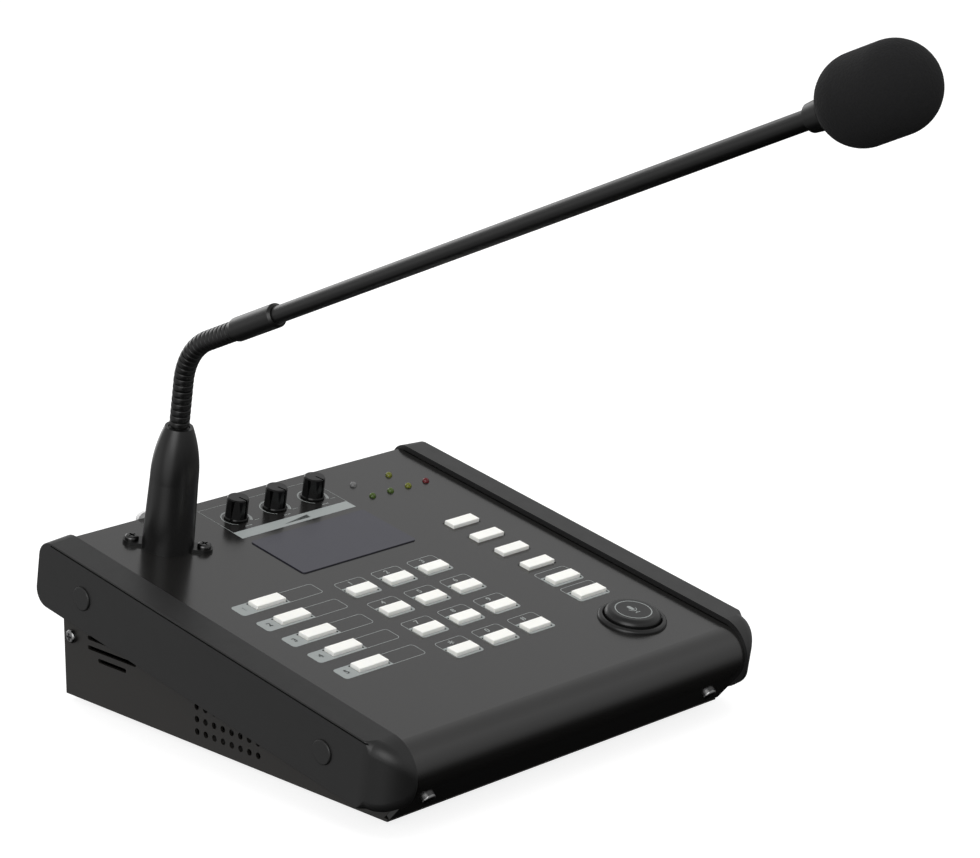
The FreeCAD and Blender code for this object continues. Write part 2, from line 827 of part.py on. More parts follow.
def top_panel():
    """One bent sheet: slope, rolled front, lip and rear flange, with ears for the side screws."""
    sheet_t = dim.panel_sheet
    lip_stop = keep("lip_stop", lip_length - (dim.tray_sheet + dim.seam) / lip_fall)
    outer_end, inner_end = roll_end(0), roll_end(sheet_t)
    blank = prism("panel_sheet_blank", [
        (-dim.roll_setback, 0, dim.roll_radius, 1),
        outer_end,
        down_lip(outer_end, lip_stop),
        down_lip(inner_end, lip_stop),
        (*inner_end, dim.roll_radius - sheet_t, -1),
        (-dim.roll_setback, -sheet_t),
        (dim.panel_length - sheet_t, -sheet_t),
        (dim.panel_length - sheet_t, -dim.flange_length),
        (dim.panel_length, -dim.flange_length),
        (dim.panel_length, -dim.flange_bend, dim.flange_bend, 1),
        (dim.panel_length - dim.flange_bend, 0),
    ], dim.case_width)
    ears, ear_hole = screw_ears()
    tools = panel_openings() + [ear_hole]
    for number, side in enumerate((-1, 1)):
        v, n = corner_v - lip_v * dim.lip_screw_up, corner_n - lip_n * dim.lip_screw_up
        foot = (side * lip_screw_x, v + lip_n, n - lip_v)
        tools.append(rod(f"lip_hole_{number}", foot, dim.screw_radius + dim.hole_clearance,
                         2 * sheet_t, -arc_cosine(lip_v)))
    node("top_panel", [cut("panel_with_openings", join("panel_blank", [blank, *ears]), tools)], PANEL)


# Side covers

outer_u = keep("outer_u", half_width + dim.cover_thickness)
outer_rise = keep("outer_rise", dim.cover_rise - dim.cover_thickness * tangent(dim.cover_draft_angle))
plan_u = outer_u - dim.cover_plan_radius
nose_radius = keep("nose_radius", (dim.cover_rise + dim.cover_drop) / 2)
nose_n = keep("nose_n", (dim.cover_rise - dim.cover_drop) / 2)


def cover_profile(inset):
    """The cover seen from the side, at the case: a band with a round nose, inset all round."""
    radius = nose_radius - inset
    bend = dim.cover_rear_radius - inset
    rear = cover_corner_v + bend
    nose_v = -dim.cover_nose_setback
    return [
        (nose_v, nose_n + radius, radius, 1),
        (nose_v - radius, nose_n, radius, 1),
        (nose_v, nose_n - radius),
        (rear - bend, nose_n - radius, bend, 1),
        (rear, nose_n - radius + bend),
        (rear, nose_n + radius - bend, bend, 1),
        (rear - bend, nose_n + radius),
    ]


def cover_plan(name, inset):
    """The right cover seen from above: rounded away at the front, inset all round."""
    radius = dim.cover_plan_radius - inset
    inner = half_width - inset
    reach = root(radius * radius - (inner - plan_u) * (inner - plan_u))
    rear = dim.panel_length + dim.cover_overhang + dim.overrun
    return slab(name, [
        (inner, -dim.cover_plan_start - reach, radius, 1),
        (plan_u + radius, -dim.cover_plan_start),
        (plan_u + radius, rear),
        (inner, rear),
    ], -dim.cover_drop - dim.overrun, dim.cover_drop + dim.cover_rise + 2 * dim.overrun)


def rim_radius(corner):
    """Rounding of the outer rim at one of its corners: fine at the sides, growing towards the nose."""
    if corner.Y > -dim.cover_plan_start.value - 0.01:
        return dim.rim_round.value
    if corner.X < half_width.value + 0.01:
        return dim.nose_round.value
    return dim.crease_end_round.value


def outer_cover():
    """The cover without its hollow: drafted all round, rounded in plan, and its outer rim rounded."""
    band = pushed("cover_band", "YZ_Plane", cover_profile(0), dim.cover_thickness)
    bind(band.Tip, TaperAngle=-dim.cover_draft_angle)
    blank = common("cover_blank", put(band, (half_width, 0, 0)), cover_plan("cover_plan", 0))
    doc.recompute()
    rim = []
    for number, edge in enumerate(blank.Shape.Edges, 1):
        span = edge.BoundBox
        at_case = span.XMax < half_width.value + dim.overrun.value
        across = span.XLength > dim.overrun.value and span.YLength < dim.overrun.value
        upright = span.YLength < 0.01 and span.YMax < 0
        if not (at_case or across or upright):
            rim.append((number, rim_radius(edge.Vertexes[0]), rim_radius(edge.Vertexes[-1])))
    return bind(doc.addObject("Part::Fillet", "cover_outside"), Base=blank, Edges=rim)


def right_cover():
    """A hollow moulding, open to the case, with posts for its two screws and a fine groove under its rim."""
    pocket_depth = dim.cover_thickness
    posts, bores = [], []
    for number, (v, n) in enumerate(plug_places):
        foot = (half_width, v, n)
        posts.append(cross_rod(f"cover_post_{number}", foot, dim.post_radius, pocket_depth))
        bores.append(cross_rod(f"cover_bore_{number}", (half_width - dim.overrun, v, n),
                               dim.screw_radius + dim.hole_clearance, pocket_depth))
        bores.append(cross_rod(f"head_bore_{number}", (half_width + dim.post_seat, v, n),
                               dim.screw_head_radius + dim.running_gap, pocket_depth))
        bores.append(cross_rod(f"plug_seat_{number}", (outer_u + dim.plug_rise - dim.plug_thickness, v, n),
                               dim.plug_radius + dim.press_gap, dim.plug_thickness))
    inside = common("cover_inside", prism("cover_hollow", cover_profile(dim.cover_wall), 3 * outer_u),
                    cover_plan("cover_hollow_plan", dim.cover_face))
    pocket = cut("cover_pocket", inside, posts)
    groove_low = (outer_u - dim.groove_depth, -dim.cover_nose_setback,
                  outer_rise - dim.groove_edge - dim.groove_width)
    groove_extent = (dim.groove_depth + dim.overrun, cover_corner_v + dim.cover_nose_setback, dim.groove_width)
    groove = box("cover_groove", groove_low, groove_extent)
    return cut("cover_right", outer_cover(), [pocket, groove, *bores])


def side_covers():
    right = right_cover()
    node("right_side_cover", [right], PANEL)
    node("left_side_cover", [mirrored("cover_left", right)], PANEL)
    radius, thickness, bulge = dim.plug_radius, dim.plug_thickness, dim.plug_round
    plug = turned("plug", [
        (0, 0),
        (radius, 0),
        (radius, thickness - bulge, bulge, 1),
        (radius - bulge, thickness),
        (0, thickness),
    ])
    plugs = []
    for number, (v, n) in enumerate(plug_places):
        foot = (outer_u + dim.plug_rise - thickness, v, n)
        plugs.append(placed(f"right_plug_{number}", plug, foot, 90, Y_AXIS))
    right_plugs = group("right_plugs", plugs)
    node("cover_plugs", [right_plugs, mirrored("left_plugs", right_plugs)], PANEL)


# Screws and feet

def pan_screw():
    """A screw with a rounded head and a cross recess, z pointing in from the head's seat."""
    head, bulge = dim.screw_head_height, dim.screw_head_round
    blank = turned("screw_blank", [
        (0, -head),
        (dim.screw_head_radius - bulge, -head, bulge, 1),
        (dim.screw_head_radius, bulge - head),
        (dim.screw_head_radius, 0),
        (dim.screw_radius, 0),
        (dim.screw_radius, dim.screw_length),
        (0, dim.screw_length),
    ])
    size_a, size_b = dim.recess_length, dim.recess_width
    recess = [
        block_on("recess_a", (0, 0, -head), (size_a, size_b, dim.recess_depth)),
        block_on("recess_b", (0, 0, -head), (size_b, size_a, dim.recess_depth)),
    ]
    return cut("pan_screw", blank, recess)


def case_screws(screw):
    """Two in the lip, one at the rear of each side wall, and two inside each side cover."""
    lip_y, lip_z = lip_point(dim.lip_screw_up, 0)
    screws = []
    for name, side, inward in (("left", -1, 90), ("right", 1, -90)):
        lip_at = (side * lip_screw_x, lip_y, lip_z)
        screws.append(placed(f"{name}_lip_screw", screw, lip_at, -arc_cosine(lip_run)))
        screws.append(placed(f"{name}_side_screw", screw, (side * half_width, ear_y, ear_z), inward, Y_AXIS))
        for number, (v, n) in enumerate(plug_places):
            seat = (side * (half_width + dim.post_seat), world_y(v, n), world_z(v, n))
            screws.append(placed(f"{name}_cover_screw_{number}", screw, seat, inward, Y_AXIS))
    node("case_screws", screws)


def rubber_feet():
    x = half_width - dim.foot_inset
    places = [(side * x, y) for y in (front_y + dim.foot_inset, rear_y - dim.foot_inset) for side in (-1, 1)]
    node("rubber_feet", [rod(f"foot_{i}", (*place, 0), dim.foot_radius, dim.foot_height)
                         for i, place in enumerate(places)])


# Keypad board, switches and keys

def keypad_board():
    """The board under the panel, cut away at the neck's foot and reaching forward under the talk button."""
    left, right = dim.board_left_setback - half_width, half_width - dim.board_right_setback
    front, rear = pad_last_v - dim.board_front_margin, dim.panel_length - dim.board_rear_setback
    notch_u, notch_v = boss_u + dim.board_notch_width, boss_v - dim.board_notch_depth
    lobe_u, lobe_v = talk_u - dim.board_lobe_width, dim.talk_reach - dim.board_lobe_depth
    node("keypad_board", [slab("board_outline", [
        (lobe_u, lobe_v),
        (right, lobe_v),
        (right, rear),
        (notch_u, rear),
        (notch_u, notch_v),
        (left, notch_v),
        (left, front),
        (lobe_u, front),
    ], -dim.board_top - dim.board_thickness, dim.board_thickness)], PANEL)


def housing(name, side, height, floor, stem_radius):
    """A square housing on the keypad board, with a bore for a stem or a spindle."""
    body = block_on(name + "_block", (0, 0, -dim.board_top), (side, side, height))
    bore = rod(name + "_bore", (0, 0, floor - dim.board_top), stem_radius + dim.running_gap, height)
    return cut(name, body, [bore])


def key_switches():
    switch = housing("key_switch", dim.switch_side, dim.switch_height, dim.switch_floor, dim.key_stem_radius)
    places = {**pad_places, **side_places}
    switches = [placed(f"{name}_switch", switch, (u, v, 0)) for name, (u, v) in places.items()]
    node("key_switches", switches, PANEL)


def key_cap(name, width):
    """A white cap with a bevelled top, the flange that keeps it in and the stem under it."""
    flange_low = -(dim.panel_sheet + dim.key_gap + dim.key_flange_thickness)
    outline = [
        (-width / 2, -dim.key_depth / 2),
        (width / 2, -dim.key_depth / 2),
        (width / 2, dim.key_depth / 2),
        (-width / 2, dim.key_depth / 2),
    ]
    cap = bevelled(slab(name + "_cap", outline, flange_low, dim.key_height - flange_low), dim.key_edge)
    extent = (width + 2 * dim.key_flange, dim.key_depth + 2 * dim.key_flange, dim.key_flange_thickness)
    flange = block_on(name + "_flange", (0, 0, flange_low), extent)
    stem = rod(name + "_stem", (0, 0, flange_low - dim.key_stem_length), dim.key_stem_radius,
               dim.key_stem_length + dim.key_flange_thickness)
    return join(name, [cap, flange, stem])


def keys():
    for name, width, places in (("pad_key", dim.pad_key_width, pad_places),
                                ("side_key", dim.side_key_width, side_places)):
        cap = key_cap(name, width)
        for label, (u, v) in places.items():
            node(label, [cap], on_panel(u, v))


# Display and lamps

def display():
    """The window fills its opening and is kept by a flange under the panel; the module backs it."""
    thickness = dim.window_flange_thickness
    flange_low = -dim.panel_sheet - thickness
    pane = slab("window_pane", window_outline(dim.window_gap), flange_low, dim.window_rise - flange_low)
    flange = slab("window_flange", window_outline(-dim.window_flange), flange_low, thickness)
    node("display_window", [join("window", [pane, flange])], PANEL)
    margin = dim.module_margin
    low = (-dim.window_left_reach - margin, window_front_v - margin, -dim.board_top)
    extent = (dim.window_width + 2 * margin, dim.window_depth + 2 * margin, dim.board_top + flange_low)
    node("display_module", [box("module", low, extent)], PANEL)


def indicator_lamps():
    radius = dim.lamp_radius
    wide = radius + dim.lamp_flange
    flange_top = dim.lamp_flange_thickness - dim.board_top
    lamp = turned("lamp", [
        (0, -dim.board_top),
        (wide, -dim.board_top),
        (wide, flange_top),
        (radius, flange_top),
        (radius, dim.lamp_rise - radius, radius, 1),
        (0, dim.lamp_rise),
    ])
    lamps = [placed(f"lamp_{i}", lamp, (u, v, 0)) for i, (u, v) in enumerate(lamp_places)]
    node("indicator_lamps", lamps, PANEL)


# Volume controls

def volume_pots():
    pot = housing("pot", dim.pot_side, dim.pot_height, dim.pot_floor, dim.spindle_radius)
    node("volume_pots", [placed(f"pot_{i}", pot, (u, knob_v, 0)) for i, u in enumerate(knob_places)], PANEL)


def knob_parts():
    """A knob with flats, a flared skirt and a pointer notch, and the spindle it is pressed onto."""
    skirt_top = dim.knob_gap + dim.skirt_height
    waist = skirt_top + dim.skirt_slope
    skirt = turned("knob_skirt", [
        (0, dim.knob_gap),
        (dim.skirt_radius, dim.knob_gap),
        (dim.skirt_radius, skirt_top),
        (dim.knob_radius, waist),
        (0, waist),
    ])
    grip = turned("knob_grip", [
        (0, skirt_top),
        (dim.knob_radius, skirt_top),
        (dim.knob_top_radius, dim.knob_height - dim.knob_edge),
        (dim.knob_top_radius - dim.knob_edge, dim.knob_height),
        (0, dim.knob_height),
    ])
    corner = dim.knob_flat_radius / math.cos(math.pi / KNOB_FLATS)
    turns = [2 * math.pi * (i + 0.5) / KNOB_FLATS for i in range(KNOB_FLATS)]
    outline = [(math.cos(turn) * corner, math.sin(turn) * corner) for turn in turns]
    flats = slab("knob_flats", outline, 0, 2 * dim.knob_height)
    front = -2 * dim.skirt_radius
    depth = dim.pointer_depth
    notches = [
        box("notch_top", (-dim.pointer_width / 2, front, dim.knob_height - depth),
            (dim.pointer_width, 2 * dim.skirt_radius - depth, dim.knob_height)),
        box("notch_side", (-dim.pointer_width / 2, front, waist),
            (dim.pointer_width, 2 * dim.skirt_radius - dim.knob_flat_radius + depth, dim.knob_height)),
    ]
    pointer = placed("knob_pointer", join("knob_notches", notches), (0, 0, 0), dim.pointer_angle, Z_AXIS)
    bore = rod("knob_bore", (0, 0, 0), dim.spindle_radius + dim.press_gap, dim.knob_bore_top)
    body = join("knob_body", [skirt, common("knob_flatted", grip, flats)])
    foot = dim.pot_floor + dim.running_gap - dim.board_top
    spindle = rod("knob_spindle", (0, 0, foot), dim.spindle_radius, dim.knob_bore_top - foot)
    return [cut("knob", body, [pointer, bore]), spindle]


def volume_knobs():
    pieces = knob_parts()
    for number, u in enumerate(knob_places, 1):
        node(f"volume_knob_{number}", pieces, on_panel(u, knob_v))


# Talk button

def talk_button():
    """The bezel in the panel, the button kept under its sleeve, and the switch on the keypad board."""
    frame = on_panel(talk_u, dim.talk_reach)
    sleeve, bulge = talk_throat + dim.bezel_sleeve, dim.bezel_round
    node("talk_bezel", [turned("bezel", [
        (talk_throat, -dim.bezel_sleeve_depth),
        (sleeve, -dim.bezel_sleeve_depth),
        (sleeve, 0),
        (dim.bezel_radius, 0),
        (dim.bezel_radius, dim.bezel_height - bulge, bulge, 1),
        (dim.bezel_radius - bulge, dim.bezel_height),
        (talk_throat + dim.bezel_lip, dim.bezel_height),
        (talk_throat, dim.bezel_height - dim.bezel_lip),
    ])], frame)
    flange_top = -dim.bezel_sleeve_depth - dim.running_gap
    flange_low = flange_top - dim.key_flange_thickness
    stem_low = flange_low - dim.talk_stem_length
    node("talk_button", [turned("button", [
        (0, stem_low),
        (dim.talk_stem_radius, stem_low),
        (dim.talk_stem_radius, flange_low),
        (dim.talk_radius + dim.talk_flange, flange_low),
        (dim.talk_radius + dim.talk_flange, flange_top),
        (dim.talk_radius, flange_top),
        (dim.talk_radius, dim.talk_height - dim.talk_edge_drop, dim.talk_edge_radius, 1),
        (dim.talk_face_radius, dim.talk_height),
        (0, dim.talk_height),
    ])], frame)
    switch = housing("talk_housing", dim.talk_switch_side, dim.talk_switch_height, dim.talk_switch_floor,
                     dim.talk_stem_radius)
    node("talk_switch", [switch], frame)


# Neck foot

def lug_plate(name, low, height):
    """A bar with round ends that reaches both lug screws."""
    length = 2 * (math.sqrt(2) * dim.lug_offset + dim.lug_radius)
    bar = slab(name + "_bar", stadium(size(0), size(0), length, dim.lug_radius), 0, height)
    return put(group(name, [bar]), (0, 0, low), LUG_TURN, Z_AXIS)


def lug_holes(name, low, height, gap):
    radius = dim.screw_radius + gap
    return [rod(f"{name}_{i}", (u, v, low), radius, height) for i, (u, v) in enumerate(lug_places)]


def neck_foot(screw):
    """The bullet-shaped foot, its two screws, and the plate under the panel that takes them."""
    frame = on_panel(boss_u, boss_v)
    top, under = dim.boss_height, dim.overrun
    shell = turned("boss_shell", [
        (0, 0),
        (dim.boss_foot_radius, 0),
        (dim.boss_waist_radius, dim.boss_waist_height, dim.boss_shoulder_radius, 1),
        (dim.boss_rim_radius, top),
        (0, top),
    ])
    bores = [
        rod("boss_wire_bore", (0, 0, -under), dim.wire_radius, top),
        rod("boss_neck_bore", (0, 0, top - dim.neck_seat), dim.neck_radius + dim.running_gap,
            2 * dim.neck_seat),
        rod("boss_spigot_bore", (0, 0, -under), dim.spigot_radius + dim.spigot_gap,
            under + dim.spigot_rise + dim.spigot_gap),
    ]
    body = join("boss_body", [shell, lug_plate("boss_lugs", 0, dim.lug_thickness)])
    holes = lug_holes("boss_hole", -under, under + 2 * dim.lug_thickness, dim.hole_clearance)
    node("neck_boss", [cut("boss", body, bores + holes)], frame)
    seats = [(u, v, dim.lug_thickness) for u, v in lug_places]
    node("boss_screws", [placed(f"boss_screw_{i}", screw, seat, 180) for i, seat in enumerate(seats)], frame)
    low = -dim.panel_sheet - dim.socket_thickness
    plate = join("socket_plate", [
        rod("socket_disc", (0, 0, low), dim.socket_radius, dim.socket_thickness),
        rod("socket_spigot", (0, 0, low), dim.spigot_radius, dim.spigot_rise - low),
        lug_plate("socket_lugs", low, dim.socket_thickness),
    ])
    wire = rod("socket_bore", (0, 0, low - under), dim.wire_radius, dim.boss_height)
    holes = lug_holes("socket_hole", low - under, dim.socket_thickness + 2 * under, dim.thread_gap)
    node("neck_socket", [cut("socket", plate, [wire, *holes])], frame)


# Flexible neck, in the frame of its foot, by distance along it from the foot's rim

bend_tangent = keep("bend_tangent", dim.bend_radius * tangent(dim.bend_angle / 2))


def neck_point(distance):
    """Centre and lean of the neck: straight up, round the bend, and straight along the arm."""
    radius, bend = dim.bend_radius.value, math.radians(dim.bend_angle.value)
    start = dim.bend_height.value - bend_tangent.value
    lean = min(max((distance - start) / radius, 0), bend)
    y = -radius * (1 - math.cos(lean))
    z = dim.boss_height.value + min(distance, start) + radius * math.sin(lean)
    beyond = max(distance - start - radius * bend, 0)
    return FreeCAD.Vector(0, y - beyond * math.sin(lean), z + beyond * math.cos(lean)), math.degrees(lean)


def ring(radius, distance):
    """A circle square to the neck, from a steady x axis."""
    centre, lean = neck_point(distance)
    wire = Part.Wire(Part.makeCircle(radius))
    wire.Placement = FreeCAD.Placement(centre, FreeCAD.Rotation(X_AXIS, lean))
    return wire


def neck_piece(name, start, end):
    """A ribbed length of neck with its bore."""
    ribs = round((end - start) / dim.rib_pitch.value)
    pitch = (end - start) / ribs
    crest = dim.neck_radius.value
    groove = crest - dim.rib_depth.value
    width, flank = dim.rib_groove.value, dim.rib_flank.value
    rings, stations = [], [start]
    for rib in range(ribs):
        at = start + rib * pitch
        rings += [ring(groove, at), ring(groove, at + width)]
        rings += [ring(crest, at + width + flank), ring(crest, at + pitch - flank)]
        stations.append(at + pitch)
    rings.append(ring(groove, end))
    bore = Part.makeLoft([ring(dim.wire_radius.value, at) for at in stations], True, True)
    neck = doc.addObject("Part::Feature", name + "_ribs")
    neck.Shape = Part.makeLoft(rings, True, True).cut(bore)
    node(name, [neck], on_panel(boss_u, boss_v))


def flexible_neck():
    radius, bend = dim.bend_radius.value, math.radians(dim.bend_angle.value)
    bend_end = dim.bend_height.value - bend_tangent.value + radius * bend
    top = bend_end - bend_tangent.value + dim.sleeve_start.value + dim.sleeve_grip.value
    lower, middle = dim.lower_neck_top.value, dim.middle_neck_top.value
    neck_piece("neck_flex_lower", -dim.neck_seat.value, lower)
    neck_piece("neck_flex_middle", lower, middle)
    neck_piece("neck_flex_upper", middle, top)


# Arm

ARM = (*on_panel(boss_u, boss_v, pivot_n)[:3], arm_angle)


def arm():
    """Coupling sleeve, straight tube, collar, microphone capsule and foam windscreen, all on one line."""
    start, end = dim.sleeve_start, dim.sleeve_start + dim.sleeve_length
    bevel = dim.sleeve_bevel
    tube_start = end - dim.tube_grip
    neck_bore, tube_bore = dim.neck_radius + dim.sleeve_gap, dim.tube_radius + dim.press_gap
    node("coupling_sleeve", [turned("sleeve", [
        (neck_bore, start),
        (dim.sleeve_radius - bevel / 4, start),
        (dim.sleeve_radius, start + bevel),
        (dim.sleeve_radius, end - bevel),
        (dim.sleeve_radius - bevel, end),
        (tube_bore, end),
        (tube_bore, tube_start),
        (dim.wire_radius, tube_start),
        (dim.wire_radius, start + dim.sleeve_grip),
        (neck_bore, start + dim.sleeve_grip),
    ])], ARM)
    collar_start, collar_end = dim.collar_start, dim.collar_start + dim.collar_length
    tube_end = collar_start + dim.collar_grip
    bore = dim.tube_radius - dim.tube_wall
    node("arm_tube", [turned("tube", [
        (bore, tube_start), (dim.tube_radius, tube_start), (dim.tube_radius, tube_end), (bore, tube_end),
    ])], ARM)
    node("capsule_collar", [turned("collar", [
        (tube_bore, collar_start),
        (dim.collar_rear_radius, collar_start),
        (dim.collar_front_radius, collar_end),
        (dim.wire_radius, collar_end),
        (dim.wire_radius, tube_end),
        (tube_bore, tube_end),
    ])], ARM)
    capsule_end, bulge = collar_end + dim.capsule_length, dim.capsule_round
    node("mic_capsule", [turned("capsule", [
        (0, collar_end),
        (dim.capsule_radius, collar_end),
        (dim.capsule_radius, capsule_end - bulge, bulge, 1),
        (dim.capsule_radius - bulge, capsule_end),
        (0, capsule_end),
    ])], ARM)
    radius = dim.screen_radius
    mouth, cavity = dim.collar_front_radius + dim.soft_gap, dim.capsule_radius + dim.soft_gap
    screen_rear = screen_start + radius
    node("windscreen", [turned("foam", [
        (mouth, screen_rear - root(radius * radius - mouth * mouth), radius, 1),
        (radius, screen_rear),
        (radius, screen_front, radius, 1),
        (0, screen_front + radius),
        (0, capsule_end + dim.soft_gap),
        (cavity, capsule_end + dim.soft_gap),
        (cavity, collar_end - dim.soft_gap),
        (mouth, collar_end - dim.soft_gap),
    ])], ARM)


# Inside the case and at the rear

def main_board():
    """The board on its standoffs over the tray's floor, and the spacers that hang the keypad board."""
    width, depth = dim.main_board_width, dim.main_board_depth
    rear = rear_y - dim.tray_sheet - dim.main_board_setback
    low_z = dim.foot_height + dim.main_board_height
    board_extent = (width, depth, dim.board_thickness)
    node("main_board", [box("mother_board", (-width / 2, rear - depth, low_z), board_extent)])
    x, inset = width / 2 - dim.standoff_inset, dim.standoff_inset
    posts = []
    for i, (side, y) in enumerate([(s, y) for s in (-1, 1) for y in (rear - inset, rear - depth + inset)]):
        posts.append(rod(f"standoff_{i}", (side * x, y, floor_z), dim.standoff_radius, low_z - floor_z))
    spacers = []
    for i, u in enumerate((-dim.spacer_left_reach, dim.spacer_right_reach)):
        for j, setback in enumerate((dim.spacer_front_setback, dim.spacer_rear_setback)):
            foot = (u, dim.panel_length - setback, -dim.board_top)
            spacers.append(rod(f"spacer_{i}_{j}", foot, dim.spacer_radius, dim.board_top - dim.panel_sheet))
    hung = put(group("panel_spacers", spacers), PANEL[:3], PANEL[3])
    node("board_standoffs", [*posts, hung])


def network_jack():
    body = block_on("jack_body", (-dim.jack_reach, rear_y - dim.jack_depth / 2, jack_z),
                    (dim.jack_width, dim.jack_depth, dim.jack_height))
    mouth = block_on("jack_mouth", (-dim.jack_reach, rear_y, jack_z + dim.jack_floor),
                     (dim.mouth_width, 2 * dim.mouth_depth, dim.mouth_height))
    node("network_jack", [cut("jack", body, [mouth])])


def monitor_speaker():
    """A small loudspeaker behind the holes of the left wall."""
    magnet_start = dim.speaker_depth - dim.magnet_height
    frame = turned("speaker", [
        (0, dim.speaker_cone_depth),
        (dim.speaker_cone_radius, 0),
        (dim.speaker_radius, 0),
        (dim.speaker_radius, dim.speaker_rim),
        (dim.magnet_radius, magnet_start),
        (dim.magnet_radius, dim.speaker_depth),
        (0, dim.speaker_depth),
    ])
    at = (dim.tray_sheet - half_width, speaker_y, speaker_z)
    node("monitor_speaker", [placed("speaker_in_place", frame, at, 90, Y_AXIS)])


def rear_lamp_dome():
    """A small pale dome on the rear flange, which rises a little over the panel's edge."""
    dome = turned("dome", [
        (0, 0),
        (dim.dome_radius, 0),
        (dim.dome_radius, dim.dome_skirt, dim.dome_radius, 1),
        (0, dim.dome_skirt + dim.dome_radius),
    ])
    at = (boss_u + dim.dome_offset, dim.panel_length, dim.dome_top - dim.dome_radius)
    node("rear_lamp_dome", [placed("dome_in_place", dome, at, -90)], PANEL)


chassis_tray()
top_panel()
side_covers()
pan = pan_screw()
case_screws(pan)
rubber_feet()
keypad_board()
key_switches()
keys()
display()
indicator_lamps()
volume_pots()
volume_knobs()
talk_button()
neck_foot(pan)
flexible_neck()
arm()
main_board()
network_jack()
monitor_speaker()
rear_lamp_dome()

doc.recompute()
for thing in doc.Objects:
    if "Invalid" in thing.State or "Error" in thing.State:
        raise RuntimeError(f"{thing.Name} failed: {thing.State}")
for part in sub_parts:
    if part.Shape.isNull() or not part.Shape.isValid():
        raise RuntimeError(f"{part.Label} has no valid shape")

os.makedirs("parts", exist_ok=True)
for part in sub_parts:
    part.Shape.exportStep(f"parts/{part.Label}.step")
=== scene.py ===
import json
import math

import bmesh
import bpy
from mathutils import Matrix, Vector, noise
from mathutils.geometry import tessellate_polygon


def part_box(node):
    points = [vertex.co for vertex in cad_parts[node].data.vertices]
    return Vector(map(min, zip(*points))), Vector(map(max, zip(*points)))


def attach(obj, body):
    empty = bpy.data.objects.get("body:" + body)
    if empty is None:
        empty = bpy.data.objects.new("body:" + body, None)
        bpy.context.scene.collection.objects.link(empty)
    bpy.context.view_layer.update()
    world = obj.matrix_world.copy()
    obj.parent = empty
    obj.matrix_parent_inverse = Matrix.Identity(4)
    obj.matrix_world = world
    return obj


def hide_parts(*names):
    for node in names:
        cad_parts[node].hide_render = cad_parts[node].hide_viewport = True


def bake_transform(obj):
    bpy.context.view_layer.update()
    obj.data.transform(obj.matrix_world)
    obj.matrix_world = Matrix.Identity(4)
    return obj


# A desk microphone console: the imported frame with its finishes, prints, lamps, foam and neck.
# Everything is in metres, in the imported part's own frame.

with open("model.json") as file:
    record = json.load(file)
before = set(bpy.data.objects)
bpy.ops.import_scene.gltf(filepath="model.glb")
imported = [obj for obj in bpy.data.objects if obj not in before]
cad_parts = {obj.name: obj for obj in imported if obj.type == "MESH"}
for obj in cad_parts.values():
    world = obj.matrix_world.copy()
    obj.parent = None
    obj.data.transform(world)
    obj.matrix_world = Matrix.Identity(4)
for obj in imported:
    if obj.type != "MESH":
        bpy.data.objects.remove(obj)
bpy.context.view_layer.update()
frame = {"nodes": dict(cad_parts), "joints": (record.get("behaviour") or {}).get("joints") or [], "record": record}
nodes = frame["nodes"]
joints = {joint["name"]: joint for joint in frame["joints"]}

MM = 0.001
RIGHT = Vector((1, 0, 0))


# The panel's frame, read from the joints: u to the right, v up the slope from its front line, n out of it

# Where the middle knob's axis meets the panel
KNOB_MIDDLE_U = 1.8 * MM
KNOB_ROW_V = 170.65 * MM
PANEL_OUT = -Vector(joints["talk_button_press"]["axis"]).normalized()
PANEL_UP = PANEL_OUT.cross(RIGHT)
FRONT_LINE = Vector(joints["volume_2_turn"]["pos_m"]) - KNOB_ROW_V * PANEL_UP - KNOB_MIDDLE_U * RIGHT
PANEL = Matrix.Translation(FRONT_LINE) @ Matrix((RIGHT, PANEL_UP, PANEL_OUT)).transposed().to_4x4()


def panel_span(name):
    """Lowest and highest corner of a CAD node in the panel's frame."""
    back = PANEL.inverted()
    points = [back @ vertex.co for vertex in nodes[name].data.vertices]
    low = Vector([min(p[i] for p in points) for i in range(3)])
    high = Vector([max(p[i] for p in points) for i in range(3)])
    return low, high


def panel_middle(name):
    low, high = panel_span(name)
    return (low.x + high.x) / 2, (low.y + high.y) / 2


def tube_ends(name):
    """Centres of the two ends of a straight CAD tube, the rear one first."""
    points = [vertex.co for vertex in nodes[name].data.vertices]
    middle_y = sum(p.y for p in points) / len(points)
    rear = [p for p in points if p.y > middle_y]
    front = [p for p in points if p.y <= middle_y]
    return sum(rear, Vector()) / len(rear), sum(front, Vector()) / len(front)


ARM_REAR, ARM_FRONT = tube_ends("arm_tube")
ARM_AXIS = (ARM_FRONT - ARM_REAR).normalized()


# Camera, light and floor

CAMERA_PLACE = (-0.869653, -0.827027, 0.481703)
CAMERA_AZIMUTH = -44.771
CAMERA_ELEVATION = 15.973
CAMERA_LENS = 122.10
SENSOR_WIDTH = 36.0
SOFTBOX_PLACE = (0.1, 0.1, 1.5)
SOFTBOX_SIZE = (1.6, 1.6)
SOFTBOX_POWER = 13.5
FLOOR_SIZE = 60.0
FLOOR_ALBEDO = (0.35, 0.35, 0.35)
FLOOR_GLOW = 0.82


def aimed(thing, place, direction):
    """Puts a camera or light in its place, looking along a direction."""
    thing.location = place
    thing.rotation_mode = "QUATERNION"
    thing.rotation_quaternion = direction.to_track_quat("-Z", "Y")
    return thing


